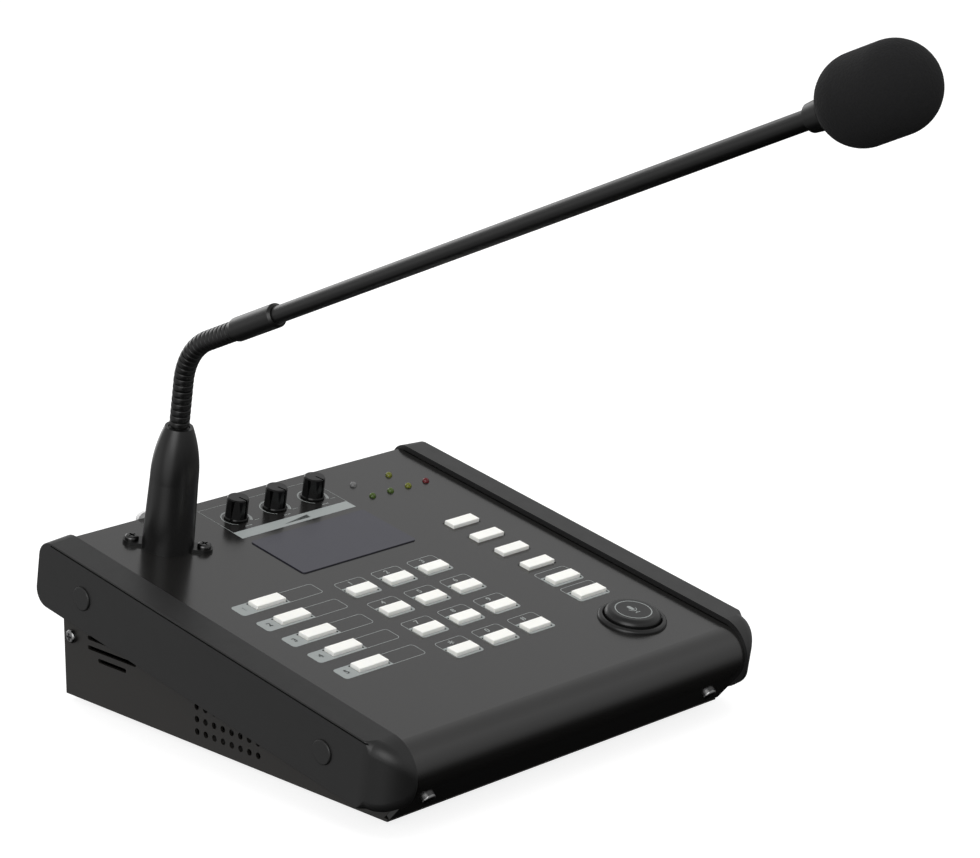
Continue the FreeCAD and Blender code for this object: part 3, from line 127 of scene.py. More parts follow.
def add_camera():
    data = bpy.data.cameras.new("camera")
    data.lens = CAMERA_LENS
    data.sensor_width = SENSOR_WIDTH
    azimuth, elevation = math.radians(CAMERA_AZIMUTH), math.radians(CAMERA_ELEVATION)
    level = math.cos(elevation)
    back = Vector((math.sin(azimuth) * level, -math.cos(azimuth) * level, math.sin(elevation)))
    camera = aimed(bpy.data.objects.new("camera", data), CAMERA_PLACE, -back)
    bpy.context.scene.collection.objects.link(camera)
    bpy.context.scene.camera = camera


def add_softbox():
    """A broad light from above, aimed at the desk's middle, that shows in no reflection."""
    data = bpy.data.lights.new("top_softbox", "AREA")
    data.shape = "RECTANGLE"
    data.size, data.size_y = SOFTBOX_SIZE
    data.energy = SOFTBOX_POWER
    light = aimed(bpy.data.objects.new("top_softbox", data), SOFTBOX_PLACE, -Vector(SOFTBOX_PLACE))
    light.visible_glossy = False
    bpy.context.scene.collection.objects.link(light)


# The dome: (height, brightness), from 0 straight down to 1 straight up, and its broad lights, each as
# (towards, cosine at its edge, cosine at its full part, brightness)
DOME_HEIGHTS = [(0.0, 0.0), (0.25, 0.008), (0.33, 0.08), (0.40, 0.24), (0.50, 0.42),
                (0.69, 0.58), (0.78, 0.66), (0.88, 0.50), (1.0, 0.35)]
DOME_LIGHTS = [
    ((-0.80, -0.45, 0.40), 0.86, 0.985, 2.00),
    ((-0.97, -0.20, -0.12), 0.84, 0.985, 0.80),
    ((-0.62, 0.70, -0.36), 0.80, 0.97, 0.29),
    ((0.22, 0.97, 0.14), 0.93, 0.985, 1.6),
]


def add_world():
    """A soft studio dome: a bright ring above the horizon, dim overhead, dark below, and broad lights."""
    world = bpy.data.worlds.new("studio")
    world.use_nodes = True
    tree = world.node_tree
    background = tree.nodes["Background"]

    def add(kind, *links, **settings):
        made = tree.nodes.new(kind)
        for name, value in settings.items():
            setattr(made, name, value)
        for place, source in links:
            if isinstance(source, bpy.types.NodeSocket):
                tree.links.new(source, made.inputs[place])
            else:
                made.inputs[place].default_value = source
        return made

    toward = add("ShaderNodeTexCoord").outputs["Generated"]
    height = add("ShaderNodeSeparateXYZ", ("Vector", toward)).outputs["Z"]
    level = add("ShaderNodeMapRange", ("Value", height), ("From Min", -1)).outputs["Result"]
    ramp = add("ShaderNodeValToRGB", ("Fac", level))
    while len(ramp.color_ramp.elements) < len(DOME_HEIGHTS):
        ramp.color_ramp.elements.new(0.5)
    for element, (place, value) in zip(ramp.color_ramp.elements, DOME_HEIGHTS):
        element.position = place
        element.color = (value, value, value, 1)
    total = ramp.outputs["Color"]
    for direction, edge, full, brightness in DOME_LIGHTS:
        nearness = add("ShaderNodeVectorMath", (0, toward), (1, Vector(direction).normalized()),
                       operation="DOT_PRODUCT").outputs["Value"]
        glow = add("ShaderNodeMapRange", ("Value", nearness), ("From Min", edge), ("From Max", full),
                   ("To Max", brightness), interpolation_type="SMOOTHSTEP").outputs["Result"]
        total = add("ShaderNodeVectorMath", (0, total), (1, glow), operation="ADD").outputs["Vector"]
    tree.links.new(total, background.inputs["Color"])
    bpy.context.scene.world = world


def add_floor():
    """The pale floor. It shows and takes shadows; the dome alone lights the object from below."""
    mesh = bpy.data.meshes.new("floor")
    half = FLOOR_SIZE / 2
    corners = [(-half, -half, 0), (half, -half, 0), (half, half, 0), (-half, half, 0)]
    mesh.from_pydata(corners, [], [(0, 1, 2, 3)])
    floor = bpy.data.objects.new("floor", mesh)
    bpy.context.scene.collection.objects.link(floor)
    floor.visible_diffuse = False
    floor.visible_glossy = False
    floor.visible_shadow = False
    pale = Finish("floor_pale", FLOOR_ALBEDO, 0.9, Emission_Color=(1, 1, 1, 1), Emission_Strength=FLOOR_GLOW)
    mesh.materials.append(pale.made)


# Finishes

# Places of the colour sockets of a Mix node
MIX_FIRST, MIX_SECOND, MIX_RESULT = 6, 7, 2


def from_screen(*values):
    """A colour from 0..255 screen values, as linear light."""
    return tuple(pow(value / 255, 2.2) for value in values)


class Finish:
    """One node material. Textures work in the object's own metres, so they stay with a moving piece."""

    def __init__(self, name, colour, roughness, **constants):
        self.made = bpy.data.materials.new(name)
        self.made.use_nodes = True
        self.tree = self.made.node_tree
        self.shader = self.tree.nodes["Principled BSDF"]
        self.colour = (*colour, 1)
        self.shader.inputs["Base Color"].default_value = self.colour
        self.shader.inputs["Roughness"].default_value = roughness
        for socket, value in constants.items():
            self.shader.inputs[socket.replace("_", " ")].default_value = value
        self.coords = self.add("ShaderNodeTexCoord").outputs["Object"]

    def add(self, kind, inputs=None, **settings):
        node = self.tree.nodes.new(kind)
        for name, value in settings.items():
            setattr(node, name, value)
        for name, value in (inputs or {}).items():
            if isinstance(value, bpy.types.NodeSocket):
                self.tree.links.new(value, node.inputs[name])
            else:
                node.inputs[name].default_value = value
        return node

    def noise(self, grain, detail=2.0):
        inputs = {"Vector": self.coords, "Scale": 1 / grain, "Detail": detail}
        return self.add("ShaderNodeTexNoise", inputs).outputs["Fac"]

    def cells(self, grain):
        inputs = {"Vector": self.coords, "Scale": 1 / grain}
        return self.add("ShaderNodeTexVoronoi", inputs).outputs["Distance"]

    def mottled(self, share, pattern):
        """Lightens and darkens the colour by a share of itself, after a pattern."""
        dark, light = ([*(c * f for c in self.colour[:3]), 1] for f in (1 - share, 1 + share))
        mix = self.add("ShaderNodeMix", {"Factor": pattern}, data_type="RGBA")
        mix.inputs[MIX_FIRST].default_value = dark
        mix.inputs[MIX_SECOND].default_value = light
        self.tree.links.new(mix.outputs[MIX_RESULT], self.shader.inputs["Base Color"])
        return self

    def uneven(self, spread, pattern):
        """Varies the roughness by a spread either way, after a pattern."""
        middle = self.shader.inputs["Roughness"].default_value
        limits = {"Value": pattern, "To Min": middle - spread, "To Max": middle + spread}
        varied = self.add("ShaderNodeMapRange", limits)
        self.tree.links.new(varied.outputs["Result"], self.shader.inputs["Roughness"])
        return self

    def relief(self, *layers):
        """Bumps, each as (pattern, depth in metres)."""
        normal = None
        for pattern, depth in layers:
            bump = self.add("ShaderNodeBump", {"Height": pattern, "Distance": depth})
            if normal:
                self.tree.links.new(normal, bump.inputs["Normal"])
            normal = bump.outputs["Normal"]
        self.tree.links.new(normal, self.shader.inputs["Normal"])
        return self


def powder_paint(name, colour, roughness, **constants):
    """Satin powder coat on sheet metal: faint orange peel under a fine grain."""
    paint = Finish(name, colour, roughness, **constants)
    peel, grain = paint.noise(1.4 * MM), paint.noise(0.18 * MM)
    paint.mottled(0.10, paint.noise(22 * MM, 3)).uneven(0.04, grain)
    return paint.relief((peel, 0.008 * MM), (grain, 0.004 * MM)).made


def moulded(name, colour, roughness, grain=0.25 * MM, depth=0.006 * MM, **constants):
    """Moulded plastic with a fine spark texture."""
    plastic = Finish(name, colour, roughness, **constants)
    spark = plastic.noise(grain, 3)
    plastic.mottled(0.08, plastic.noise(14 * MM, 3)).uneven(0.05, plastic.noise(6 * MM, 4))
    return plastic.relief((spark, depth)).made


def metal(name, colour, roughness):
    plated = Finish(name, colour, roughness, Metallic=1.0)
    fine = plated.noise(0.15 * MM)
    plated.mottled(0.12, plated.noise(3 * MM, 3)).uneven(0.06, fine)
    return plated.relief((fine, 0.003 * MM)).made


def foam_finish():
    foam = Finish("foam", from_screen(22, 22, 23), 0.95)
    cells, fine = foam.cells(0.8 * MM), foam.noise(0.35 * MM, 3)
    # Painted shade: the colour darkens towards each cell's middle, where the bump sinks a pit; the same cells also
    # give the real bump relief.
    foam.mottled(0.3, cells)
    return foam.relief((cells, 0.08 * MM), (fine, 0.05 * MM)).made


def ink(name, colour):
    printed = Finish(name, colour, 0.5)
    fine = printed.noise(0.12 * MM)
    printed.mottled(0.06, fine).uneven(0.05, fine)
    return printed.made


def board_finish():
    """Green solder mask with the darker net of tracks under it."""
    board = Finish("board_green", (0.02, 0.11, 0.05), 0.3)
    tracks = board.cells(2.4 * MM)
    board.mottled(0.35, tracks).uneven(0.05, board.noise(5 * MM))
    return board.relief((tracks, 0.02 * MM)).made


def lens_finish(name, colour):
    lens = Finish(name, colour, 0.12, Transmission_Weight=0.55, IOR=1.5)
    haze = lens.noise(0.6 * MM)
    lens.mottled(0.1, haze).uneven(0.04, haze)
    return lens.made


def dress(finish, *names):
    """Gives CAD nodes a finish, in their objects' own material slots."""
    for name in names:
        for slot in nodes[name].material_slots:
            slot.material = finish


CASE = powder_paint("case_paint", (0.0090, 0.0087, 0.0083), 0.20, IOR=1.7)
TRAY = powder_paint("tray_paint", (0.017, 0.0155, 0.014), 0.42)
COVER = moulded("cover_plastic", (0.010, 0.010, 0.010), 0.40, IOR=1.5)
BLACK = moulded("black_plastic", (0.006, 0.006, 0.006), 0.30, depth=0.003 * MM)
KEY = moulded("key_plastic", (0.92, 0.92, 0.88), 0.42, depth=0.002 * MM, Subsurface_Weight=0.10,
              Subsurface_Radius=(0.6 * MM, 0.6 * MM, 0.5 * MM), Subsurface_Scale=1.0)
KNOB = moulded("knob_plastic", (0.0008, 0.0008, 0.0008), 0.20, depth=0.001 * MM, IOR=1.40)
WINDOW = moulded("window", (0.030, 0.030, 0.042), 0.22, depth=0.001 * MM)
PALE = moulded("pale_plastic", (0.75, 0.75, 0.75), 0.3)
SCREW = metal("screw_steel", (0.28, 0.28, 0.28), 0.20)
DARK_SCREW = metal("screw_dark", (0.08, 0.08, 0.08), 0.20)
NECK = moulded("neck_metal", (0.004, 0.004, 0.004), 0.30, grain=0.15 * MM, depth=0.003 * MM)
CAPSULE = metal("capsule_metal", (0.35, 0.35, 0.36), 0.35)
SOCKET = metal("socket_metal", (0.55, 0.55, 0.56), 0.3)
GOLD = metal("contact_gold", (0.75, 0.52, 0.18), 0.25)
FOAM = foam_finish()
RUBBER = moulded("rubber", (0.018, 0.018, 0.018), 0.8, depth=0.02 * MM)
BOARD = board_finish()
MODULE = moulded("module_grey", (0.11, 0.11, 0.12), 0.5)
LIGHT_INK = ink("ink_light", from_screen(140, 144, 143))
TAB_INK = ink("ink_tab", from_screen(147, 152, 151))
DARK_INK = ink("ink_dark", from_screen(40, 42, 44))


def dress_the_frame():
    keys = [name for name in nodes if "_key_" in name]
    dress(KEY, *keys)
    dress(CASE, "top_panel")
    dress(TRAY, "chassis_tray")
    dress(COVER, "left_side_cover", "right_side_cover", "cover_plugs")
    dress(BLACK, "talk_bezel", "talk_button", "talk_switch", "neck_boss", "key_switches", "network_jack",
          "monitor_speaker")
    dress(KNOB, "volume_knob_1", "volume_knob_2", "volume_knob_3")
    dress(WINDOW, "display_window")
    dress(PALE, "rear_lamp_dome")
    dress(SCREW, "case_screws")
    dress(DARK_SCREW, "boss_screws")
    dress(NECK, "coupling_sleeve", "arm_tube", "capsule_collar")
    dress(CAPSULE, "mic_capsule")
    dress(SOCKET, "neck_socket", "board_standoffs")
    dress(RUBBER, "rubber_feet")
    dress(BOARD, "keypad_board", "main_board")
    dress(MODULE, "display_module", "volume_pots")


# Mesh tools

def piece(name, mesh_or_bmesh, finish, body, smooth=True):
    """Makes an object that rides on a body, from a mesh that is already in place."""
    mesh = mesh_or_bmesh
    if isinstance(mesh_or_bmesh, bmesh.types.BMesh):
        mesh = bpy.data.meshes.new(name)
        bmesh.ops.recalc_face_normals(mesh_or_bmesh, faces=mesh_or_bmesh.faces)
        mesh_or_bmesh.to_mesh(mesh)
        mesh_or_bmesh.free()
    mesh.polygons.foreach_set("use_smooth", [smooth] * len(mesh.polygons))
    mesh.materials.append(finish)
    thing = bpy.data.objects.new(name, mesh)
    bpy.context.scene.collection.objects.link(thing)
    if body:
        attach(thing, body)
    return thing


def rings_to_mesh(name, rings):
    """A closed skin through rings of equal count; a ring of one point closes that end."""
    points, faces = [], []
    starts = []
    for ring in rings:
        starts.append(len(points))
        points.extend(ring)
    for (a, first), (b, second) in zip(zip(starts, rings), zip(starts[1:], rings[1:])):
        count = max(len(first), len(second))
        for i in range(count):
            j = (i + 1) % count
            if len(first) == 1:
                faces.append((a, b + j, b + i))
            elif len(second) == 1:
                faces.append((a + i, a + j, b))
            else:
                faces.append((a + i, a + j, b + j, b + i))
    mesh = bpy.data.meshes.new(name)
    mesh.from_pydata([tuple(p) for p in points], [], faces)
    return mesh


def circle(centre, across, up, radius, count):
    turns = [2 * math.pi * i / count for i in range(count)]
    return [centre + radius * (math.cos(turn) * across + math.sin(turn) * up) for turn in turns]


def revolved(name, foot, axis, profile, count):
    """A solid turned about an axis, from (radius, height) points; radius 0 closes an end."""
    across = axis.orthogonal().normalized()
    up = axis.cross(across)
    rings = []
    for radius, height in profile:
        centre = foot + height * axis
        rings.append(circle(centre, across, up, radius, count) if radius > 0 else [centre])
    return rings_to_mesh(name, rings)


def join_sections(made, sections, closed=False):
    """Skins a row of four-cornered sections in a bmesh, and caps the ends of an open one."""
    pairs = list(zip(sections, sections[1:])) + ([(sections[-1], sections[0])] if closed else [])
    for a, b in pairs:
        for k in range(4):
            made.faces.new((a[k], a[(k + 1) % 4], b[(k + 1) % 4], b[k]))
    if not closed:
        made.faces.new(sections[0][::-1])
        made.faces.new(sections[-1])


def rectangle(left, front, right, rear):
    return [(left, front), (right, front), (right, rear), (left, rear)]


def arc_points(middle, radius, first, last, steps):
    """Points (a, b) round an arc, angles in degrees."""
    turns = [math.radians(first + (last - first) * i / steps) for i in range(steps + 1)]
    return [(middle[0] + radius * math.cos(turn), middle[1] + radius * math.sin(turn)) for turn in turns]


# Windscreen

FOAM_STEP = 0.3 * MM
FOAM_CELL = 0.95 * MM
FOAM_PIT = 0.10 * MM
PIT_REACH = 0.55
FOAM_GRAIN = 0.45 * FOAM_CELL
GRAIN_DEPTH = 0.5 * FOAM_PIT
FOAM_WAVE = 9 * MM
FOAM_SWELL = 0.10 * MM
FOAM_ROUND = 1.2 * MM
FOAM_SLACK = 0.3 * MM
MOUTH_BAND = 1 * MM


def along_arm(point):
    return (point - ARM_REAR).dot(ARM_AXIS)


def off_arm(point):
    return (point - ARM_REAR - along_arm(point) * ARM_AXIS).length


def unevenness(point, grain):
    """Smooth noise between 0 and 1."""
    return 0.5 + 0.5 * noise.noise(point / grain)


def pitted(point, outward):
    """A point of the foam's face, sunk where an open cell lies and where the face is uneven."""
    near = noise.voronoi(point / FOAM_CELL)[0][0]
    pit = FOAM_PIT * max(0.0, 1 - near / PIT_REACH)
    fine = GRAIN_DEPTH * unevenness(point, FOAM_GRAIN)
    swell = FOAM_SWELL * unevenness(point, FOAM_WAVE)
    return point - (pit + fine + swell) * outward


def foam_windscreen():
    """The slip-on foam ball: a rounded plug with a bore for the capsule and a soft rolled mouth."""
    shell = nodes["windscreen"].data.vertices
    reaches = [along_arm(vertex.co) for vertex in shell]
    radius = max(off_arm(vertex.co) for vertex in shell)
    start, end = min(reaches), max(reaches)
    mouth = min(off_arm(vertex.co) for vertex in shell if along_arm(vertex.co) < start + MOUTH_BAND)
    capsule = [vertex.co for vertex in nodes["mic_capsule"].data.vertices]
    cavity = max(off_arm(point) for point in capsule) + FOAM_SLACK
    cavity_end = max(along_arm(point) for point in capsule) + FOAM_SLACK
    cavity_start = min(along_arm(point) for point in capsule) - FOAM_SLACK
    front_middle = end - radius
    rear_middle = start + math.sqrt(radius ** 2 - mouth ** 2)
    first_turn = math.degrees(math.asin(min(1, (mouth + FOAM_ROUND) / radius)))
    around = round(2 * math.pi * radius / FOAM_STEP)
    steps = round(math.pi / 2 * radius / FOAM_STEP)
    profile = [(0, cavity_end), (cavity, cavity_end), (cavity, cavity_start), (mouth, cavity_start)]
    lip = start + FOAM_ROUND
    profile += [(mouth + FOAM_ROUND * (1 - math.sin(turn)), lip - FOAM_ROUND * math.cos(turn))
                for turn in (math.pi / 2, math.pi / 4, 0)]
    face_from = len(profile)
    for i in range(steps + 1):
        turn = math.radians(180 - first_turn + (first_turn - 90) * i / steps)
        profile.append((radius * math.sin(turn), rear_middle + radius * math.cos(turn)))
    straight = round((front_middle - rear_middle) / FOAM_STEP)
    for i in range(1, straight):
        profile.append((radius, rear_middle + (front_middle - rear_middle) * i / straight))
    for i in range(steps + 1):
        turn = math.pi / 2 * (1 - i / steps)
        profile.append((radius * math.sin(turn), front_middle + radius * math.cos(turn)))
    profile[-1] = (0, end)
    mesh = revolved("foam_windscreen", ARM_REAR, ARM_AXIS, profile, around)
    first_vertex = 1 + (face_from - 1) * around
    for vertex in mesh.vertices[first_vertex:]:
        height = along_arm(vertex.co)
        middle = ARM_REAR + min(max(height, rear_middle), front_middle) * ARM_AXIS
        vertex.co = pitted(vertex.co, (vertex.co - middle).normalized())
    foam = piece("foam_windscreen", mesh, FOAM, "arm")
    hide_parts("windscreen")


# Flexible neck, by distance along it from the rim of its foot

BEND_RADIUS = 26 * MM
NECK_RADIUS = 4.1 * MM
RIB_PITCH = 2.7 * MM
NECK_BORE = 2.4 * MM
NECK_AROUND = 56
# Along one rib, as (share of the pitch, depth below the crest)
RIB_SHAPE = [(0.0, 0.75 * MM), (0.10, 0.75 * MM), (0.13, 0.20 * MM), (0.20, 0.05 * MM), (0.34, 0.0),
             (0.60, 0.0), (0.80, 0.0), (0.92, 0.05 * MM), (0.985, 0.20 * MM)]
# Each length of neck, in mm: from, to, the bodies at its ends, and from and to where it bends between them
NECK_LENGTHS = {
    "neck_flex_lower": (-5.5, 16.1, "base", "neck_lower", 2, 14),
    "neck_flex_middle": (16.1, 32.3, "neck_lower", "neck_upper", 19, 31),
    "neck_flex_upper": (32.3, 70.26, "neck_upper", "arm", 34, 48),
}

BOSS_U, BOSS_V = panel_middle("neck_boss")
RIM = PANEL @ Vector((BOSS_U, BOSS_V, panel_span("neck_boss")[1].z))


def bend_facts():
    """The angle between the foot's line and the arm's, and the height of the bend's start above the rim."""
    angle = PANEL_OUT.angle(ARM_AXIS)
    sideways = PANEL_OUT.cross(RIGHT)
    to_arm = ARM_REAR - RIM
    height = to_arm.dot(PANEL_OUT) - to_arm.dot(sideways) / ARM_AXIS.dot(sideways) * ARM_AXIS.dot(PANEL_OUT)
    return angle, height - BEND_RADIUS * math.tan(angle / 2)


BEND_ANGLE, BEND_START = bend_facts()


def neck_point(distance):
    """Centre and direction of the neck at a distance from the rim."""
    lean = min(max((distance - BEND_START) / BEND_RADIUS, 0), BEND_ANGLE)
    turn = Matrix.Rotation(lean, 3, RIGHT)
    direction = turn @ PANEL_OUT
    inward = -PANEL_UP
    centre = RIM + min(distance, BEND_START) * PANEL_OUT
    centre += BEND_RADIUS * ((1 - math.cos(lean)) * inward + math.sin(lean) * PANEL_OUT)
    beyond = max(distance - BEND_START - BEND_RADIUS * BEND_ANGLE, 0)
    return centre + beyond * direction, direction


def neck_ring(distance, radius):
    centre, direction = neck_point(distance)
    return circle(centre, RIGHT, direction.cross(RIGHT), radius, NECK_AROUND)


def neck_skin(node):
    start, end, body_a, body_b, bend_from, bend_to = NECK_LENGTHS[node]
    start, end = start * MM, end * MM
    ribs = round((end - start) / RIB_PITCH)
    pitch = (end - start) / ribs
    rings = [neck_ring(start, NECK_BORE)]
    for rib in range(ribs):
        for share, depth in RIB_SHAPE:
            rings.append(neck_ring(start + (rib + share) * pitch, NECK_RADIUS - depth))
    rings.append(neck_ring(end, NECK_RADIUS - RIB_SHAPE[0][1]))
    rings += [neck_ring(end - i * pitch, NECK_BORE) for i in range(ribs + 1)]
    skin = piece(node + "_skin", rings_to_mesh(node, rings), NECK, None)
    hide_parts(node)
    neck_point(bend_from * MM)[0]
    neck_point(bend_to * MM)[0]
    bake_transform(skin)


# Lamps

LAMP_RADIUS = 1.5 * MM
LAMP_FLANGE = 0.4 * MM
FLANGE_HEIGHT = 1 * MM
DIE_BRIGHTER = 2.2
CUP_BELOW_TOP = 2.0 * MM
LENS_AROUND, CUP_AROUND = 40, 24
# The cup's section, as (radius, height over its rim)
CUP_SHAPE = [(0, -1.6 * MM), (0.5 * MM, -1.6 * MM), (0.95 * MM, 0), (0.85 * MM, 0), (0.4 * MM, -0.7 * MM),
             (0, -0.7 * MM)]
LAMP_COLOURS = {
    "clear": (0.30, 0.30, 0.30),
    "green": (0.10, 0.17, 0.02),
    "lime": (0.24, 0.26, 0.02),
    "red": (0.22, 0.01, 0.02),
}
# Each lamp: column in its row, row, colour
LAMPS = [(0, "row", "green"), (1, "row", "green"), (2, "row", "lime"), (3, "row", "red"),
         (0, "upper", "clear"), (2, "upper", "lime")]
LAMP_FIRST_U = 46.4 * MM
LAMP_PITCH = 10.4 * MM
LAMP_ROWS = {"row": 158.3 * MM, "upper": 170.7 * MM}


def lamps():
    """Six lens-topped lamps, each with its cup and die inside."""
    low, high = panel_span("indicator_lamps")
    finishes = {name: lens_finish("lens_" + name, colour) for name, colour in LAMP_COLOURS.items()}
    dies = {name: ink("die_" + name, tuple(min(1, DIE_BRIGHTER * c) for c in colour))
            for name, colour in LAMP_COLOURS.items()}
    for number, (column, row, colour) in enumerate(LAMPS, 1):
        place = (LAMP_FIRST_U + column * LAMP_PITCH, LAMP_ROWS[row])
        foot = PANEL @ Vector((*place, low.z))
        tall = high.z - low.z
        wide = LAMP_RADIUS + LAMP_FLANGE
        profile = [(0, 0), (wide, 0), (wide, FLANGE_HEIGHT), (LAMP_RADIUS, FLANGE_HEIGHT)]
        turns = [math.radians(degrees) for degrees in range(0, 90, 9)]
        profile += [(LAMP_RADIUS * math.cos(turn), tall - LAMP_RADIUS * (1 - math.sin(turn)))
                    for turn in turns]
        profile.append((0, tall))
        lens = revolved("lens", foot, PANEL_OUT, profile, LENS_AROUND)
        piece(f"lamp_lens_{number}", lens, finishes[colour], "base")
        section = [(radius, tall - CUP_BELOW_TOP + height) for radius, height in CUP_SHAPE]
        cup = revolved("cup", foot, PANEL_OUT, section, CUP_AROUND)
        piece(f"lamp_cup_{number}", cup, dies[colour], "base")
    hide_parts("indicator_lamps")


# Prints: thin ink on the panel, drawn in its u and v

INK_HEIGHT = 0.03 * MM
LINE = 0.28 * MM
SHARPEST_MITRE = 0.35
FIGURE_STEPS = 6
CORNER_STEPS = 6


class Print:
    """Ink shapes gathered into one mesh, each a thin solid on a flat face."""

    def __init__(self, surface=PANEL):
        self.made = bmesh.new()
        self.surface = surface

    def place(self, point, height):
        return self.surface @ Vector((*point, height))

    def plate(self, *outlines):
        """A filled shape from its outline, less any holes whose outlines follow."""
        points = [point for outline in outlines for point in outline]
        low = [self.made.verts.new(self.place(p, -INK_HEIGHT)) for p in points]
        high = [self.made.verts.new(self.place(p, INK_HEIGHT)) for p in points]
        flat = [[Vector((*point, 0)) for point in outline] for outline in outlines]
        for corners in tessellate_polygon(flat):
            self.made.faces.new([high[i] for i in corners])
            self.made.faces.new([low[i] for i in corners[::-1]])
        start = 0
        for outline in outlines:
            for i in range(len(outline)):
                a, b = start + i, start + (i + 1) % len(outline)
                self.made.faces.new((low[a], low[b], high[b], high[a]))
            start += len(outline)

    def line(self, points, width=LINE, closed=False, end_width=None):
        """A stroke along points, which may widen towards its end."""
        count = len(points)
        last_width = width if end_width is None else end_width
        sections = []
        for i, point in enumerate(points):
            here = Vector(point)
            before = Vector(points[i - 1]) if closed or i else here - (Vector(points[1]) - here)
            after = Vector(points[(i + 1) % count]) if closed or i < count - 1 else here + (here - before)
            first, second = (here - before).normalized(), (after - here).normalized()
            side = Vector((-first.y - second.y, first.x + second.x))
            side = side.normalized() / max(SHARPEST_MITRE, math.cos(first.angle(second, 0) / 2))
            half = (width + (last_width - width) * i / max(1, count - 1)) / 2
            left, right = here + side * half, here - side * half
            corners = [(left, -INK_HEIGHT), (right, -INK_HEIGHT), (right, INK_HEIGHT), (left, INK_HEIGHT)]
            sections.append([self.made.verts.new(self.place(p, h)) for p, h in corners])
        join_sections(self.made, sections, closed)

    def letters(self, text, size, middle, weight=0.0):
        """Plain figures, centred on a point, their strokes widened by a weight."""
        data = bpy.data.curves.new("figures", "FONT")
        data.body = text
        data.size = size
        data.align_x = "CENTER"
        data.align_y = "CENTER"
        data.extrude = INK_HEIGHT
        data.offset = weight
        data.resolution_u = FIGURE_STEPS
        holder = bpy.data.objects.new("figures", data)
        bpy.context.scene.collection.objects.link(holder)
        bpy.context.view_layer.update()
        mesh = bpy.data.meshes.new_from_object(holder.evaluated_get(bpy.context.evaluated_depsgraph_get()))
        mesh.transform(self.surface @ Matrix.Translation((*middle, 0)))
        self.made.from_mesh(mesh)
        bpy.data.objects.remove(holder)
        bpy.data.curves.remove(data)
        bpy.data.meshes.remove(mesh)

    def dash(self, left, v, length, height):
        """A plain bar, its left end at a point."""
        self.plate(rectangle(left, v - height / 2, left + length, v + height / 2))

    def finish(self, name, ink_finish, body="base"):
        return piece(name, self.made, ink_finish, body, smooth=False)


def rounded_box(left, front, right, rear, radius, corners=(True, True, True, True)):
    """A rectangle's outline, counter-clockwise from its front left, with chosen corners rounded."""
    places = [(left, front, 180), (right, front, 270), (right, rear, 0), (left, rear, 90)]
    outline = []
    for (u, v, turn), bent in zip(places, corners):
        if not bent:
            outline.append((u, v))
            continue
        middle = (u + (radius if u == left else -radius), v + (radius if v == front else -radius))
        outline += arc_points(middle, radius, turn, turn + 90, CORNER_STEPS)
    return outline


# A key's opening in the panel, and the round notches in its front right and rear left corners
OPENING_GAP = 0.3 * MM
OPENING_HALF_V = 3.1 * MM
NOTCH_V = 2.95 * MM
NOTCH_RADIUS = 0.6 * MM
NOTCH_FROM, NOTCH_TO = 194.5, 435.5
NOTCH_STEPS = 12


def key_opening(u, v, width):
    """The outline of a key's opening, with its two notches."""
    half_u = width / 2 + OPENING_GAP
    notch_u = (width + OPENING_GAP) / 2
    right_notch = arc_points((notch_u, -NOTCH_V), NOTCH_RADIUS, NOTCH_FROM, NOTCH_TO, NOTCH_STEPS)
    left_notch = arc_points((-notch_u, NOTCH_V), NOTCH_RADIUS, NOTCH_FROM - 180, NOTCH_TO - 180, NOTCH_STEPS)
    outline = [(-half_u, -OPENING_HALF_V), *right_notch, (half_u, OPENING_HALF_V), *left_notch]
    return [(u + a, v + b) for a, b in outline]


# Tabs and label boxes, by distance from the middle of their left key
TAB_FRONT, TAB_REAR = 4.5 * MM, 4.0 * MM
TAB_LEFT, TAB_RIGHT, LABEL_RIGHT = 15.85 * MM, 8.65 * MM, 26.15 * MM
TAB_ROUND = 1.6 * MM
TAB_FIGURE = 3.9 * MM
TAB_FIGURE_LEFT = 11.65 * MM
TAB_FIGURE_WEIGHT = 0.12 * MM
LABEL_INSET = 0.1 * MM
# Frames, in mm from the middle of their key: left, right, front and rear edge,
# and how far back they are filled
PAD_FRAME, PAD_FILL = (-6.8, 7.8, -4.35, 9.6), 4.6
SIDE_FRAME, SIDE_FILL = (-9.0, 8.7, -4.4, 8.2), 4.2
FRAME_ROUND = 1.6 * MM
SIDE_KEY_WIDTH, PAD_KEY_WIDTH = 14.8 * MM, 12.2 * MM
# Keypad figures, each as (size, u and v from the middle of its key)
PAD_FIGURE = (3.7 * MM, 0.3 * MM, 7.1 * MM)
STAR_FIGURE = (6.0 * MM, 0.3 * MM, 5.95 * MM)
PAD_FIGURE_WEIGHT = 0.08 * MM
PAD_SIGNS = {"star": "*", "pound": "#"}


def left_tabs(lines, tabs, dark):
    """A numbered tab round each left key, and the label box that runs on from it."""
    for number in range(1, 6):
        u, v = panel_middle(f"left_key_{number}")
        left, right = u - TAB_LEFT, u + TAB_RIGHT
        front, rear = v - TAB_FRONT, v + TAB_REAR
        tabs.plate(rounded_box(left, front, right, rear, TAB_ROUND, (True, False, False, True)),
                   key_opening(u, v, SIDE_KEY_WIDTH))
        lines.line(rounded_box(right, front + LABEL_INSET, u + LABEL_RIGHT, rear - LABEL_INSET, TAB_ROUND,
                               (False, True, True, False)), LINE)
        dark.letters(str(number), TAB_FIGURE, (u - TAB_FIGURE_LEFT, v), TAB_FIGURE_WEIGHT)


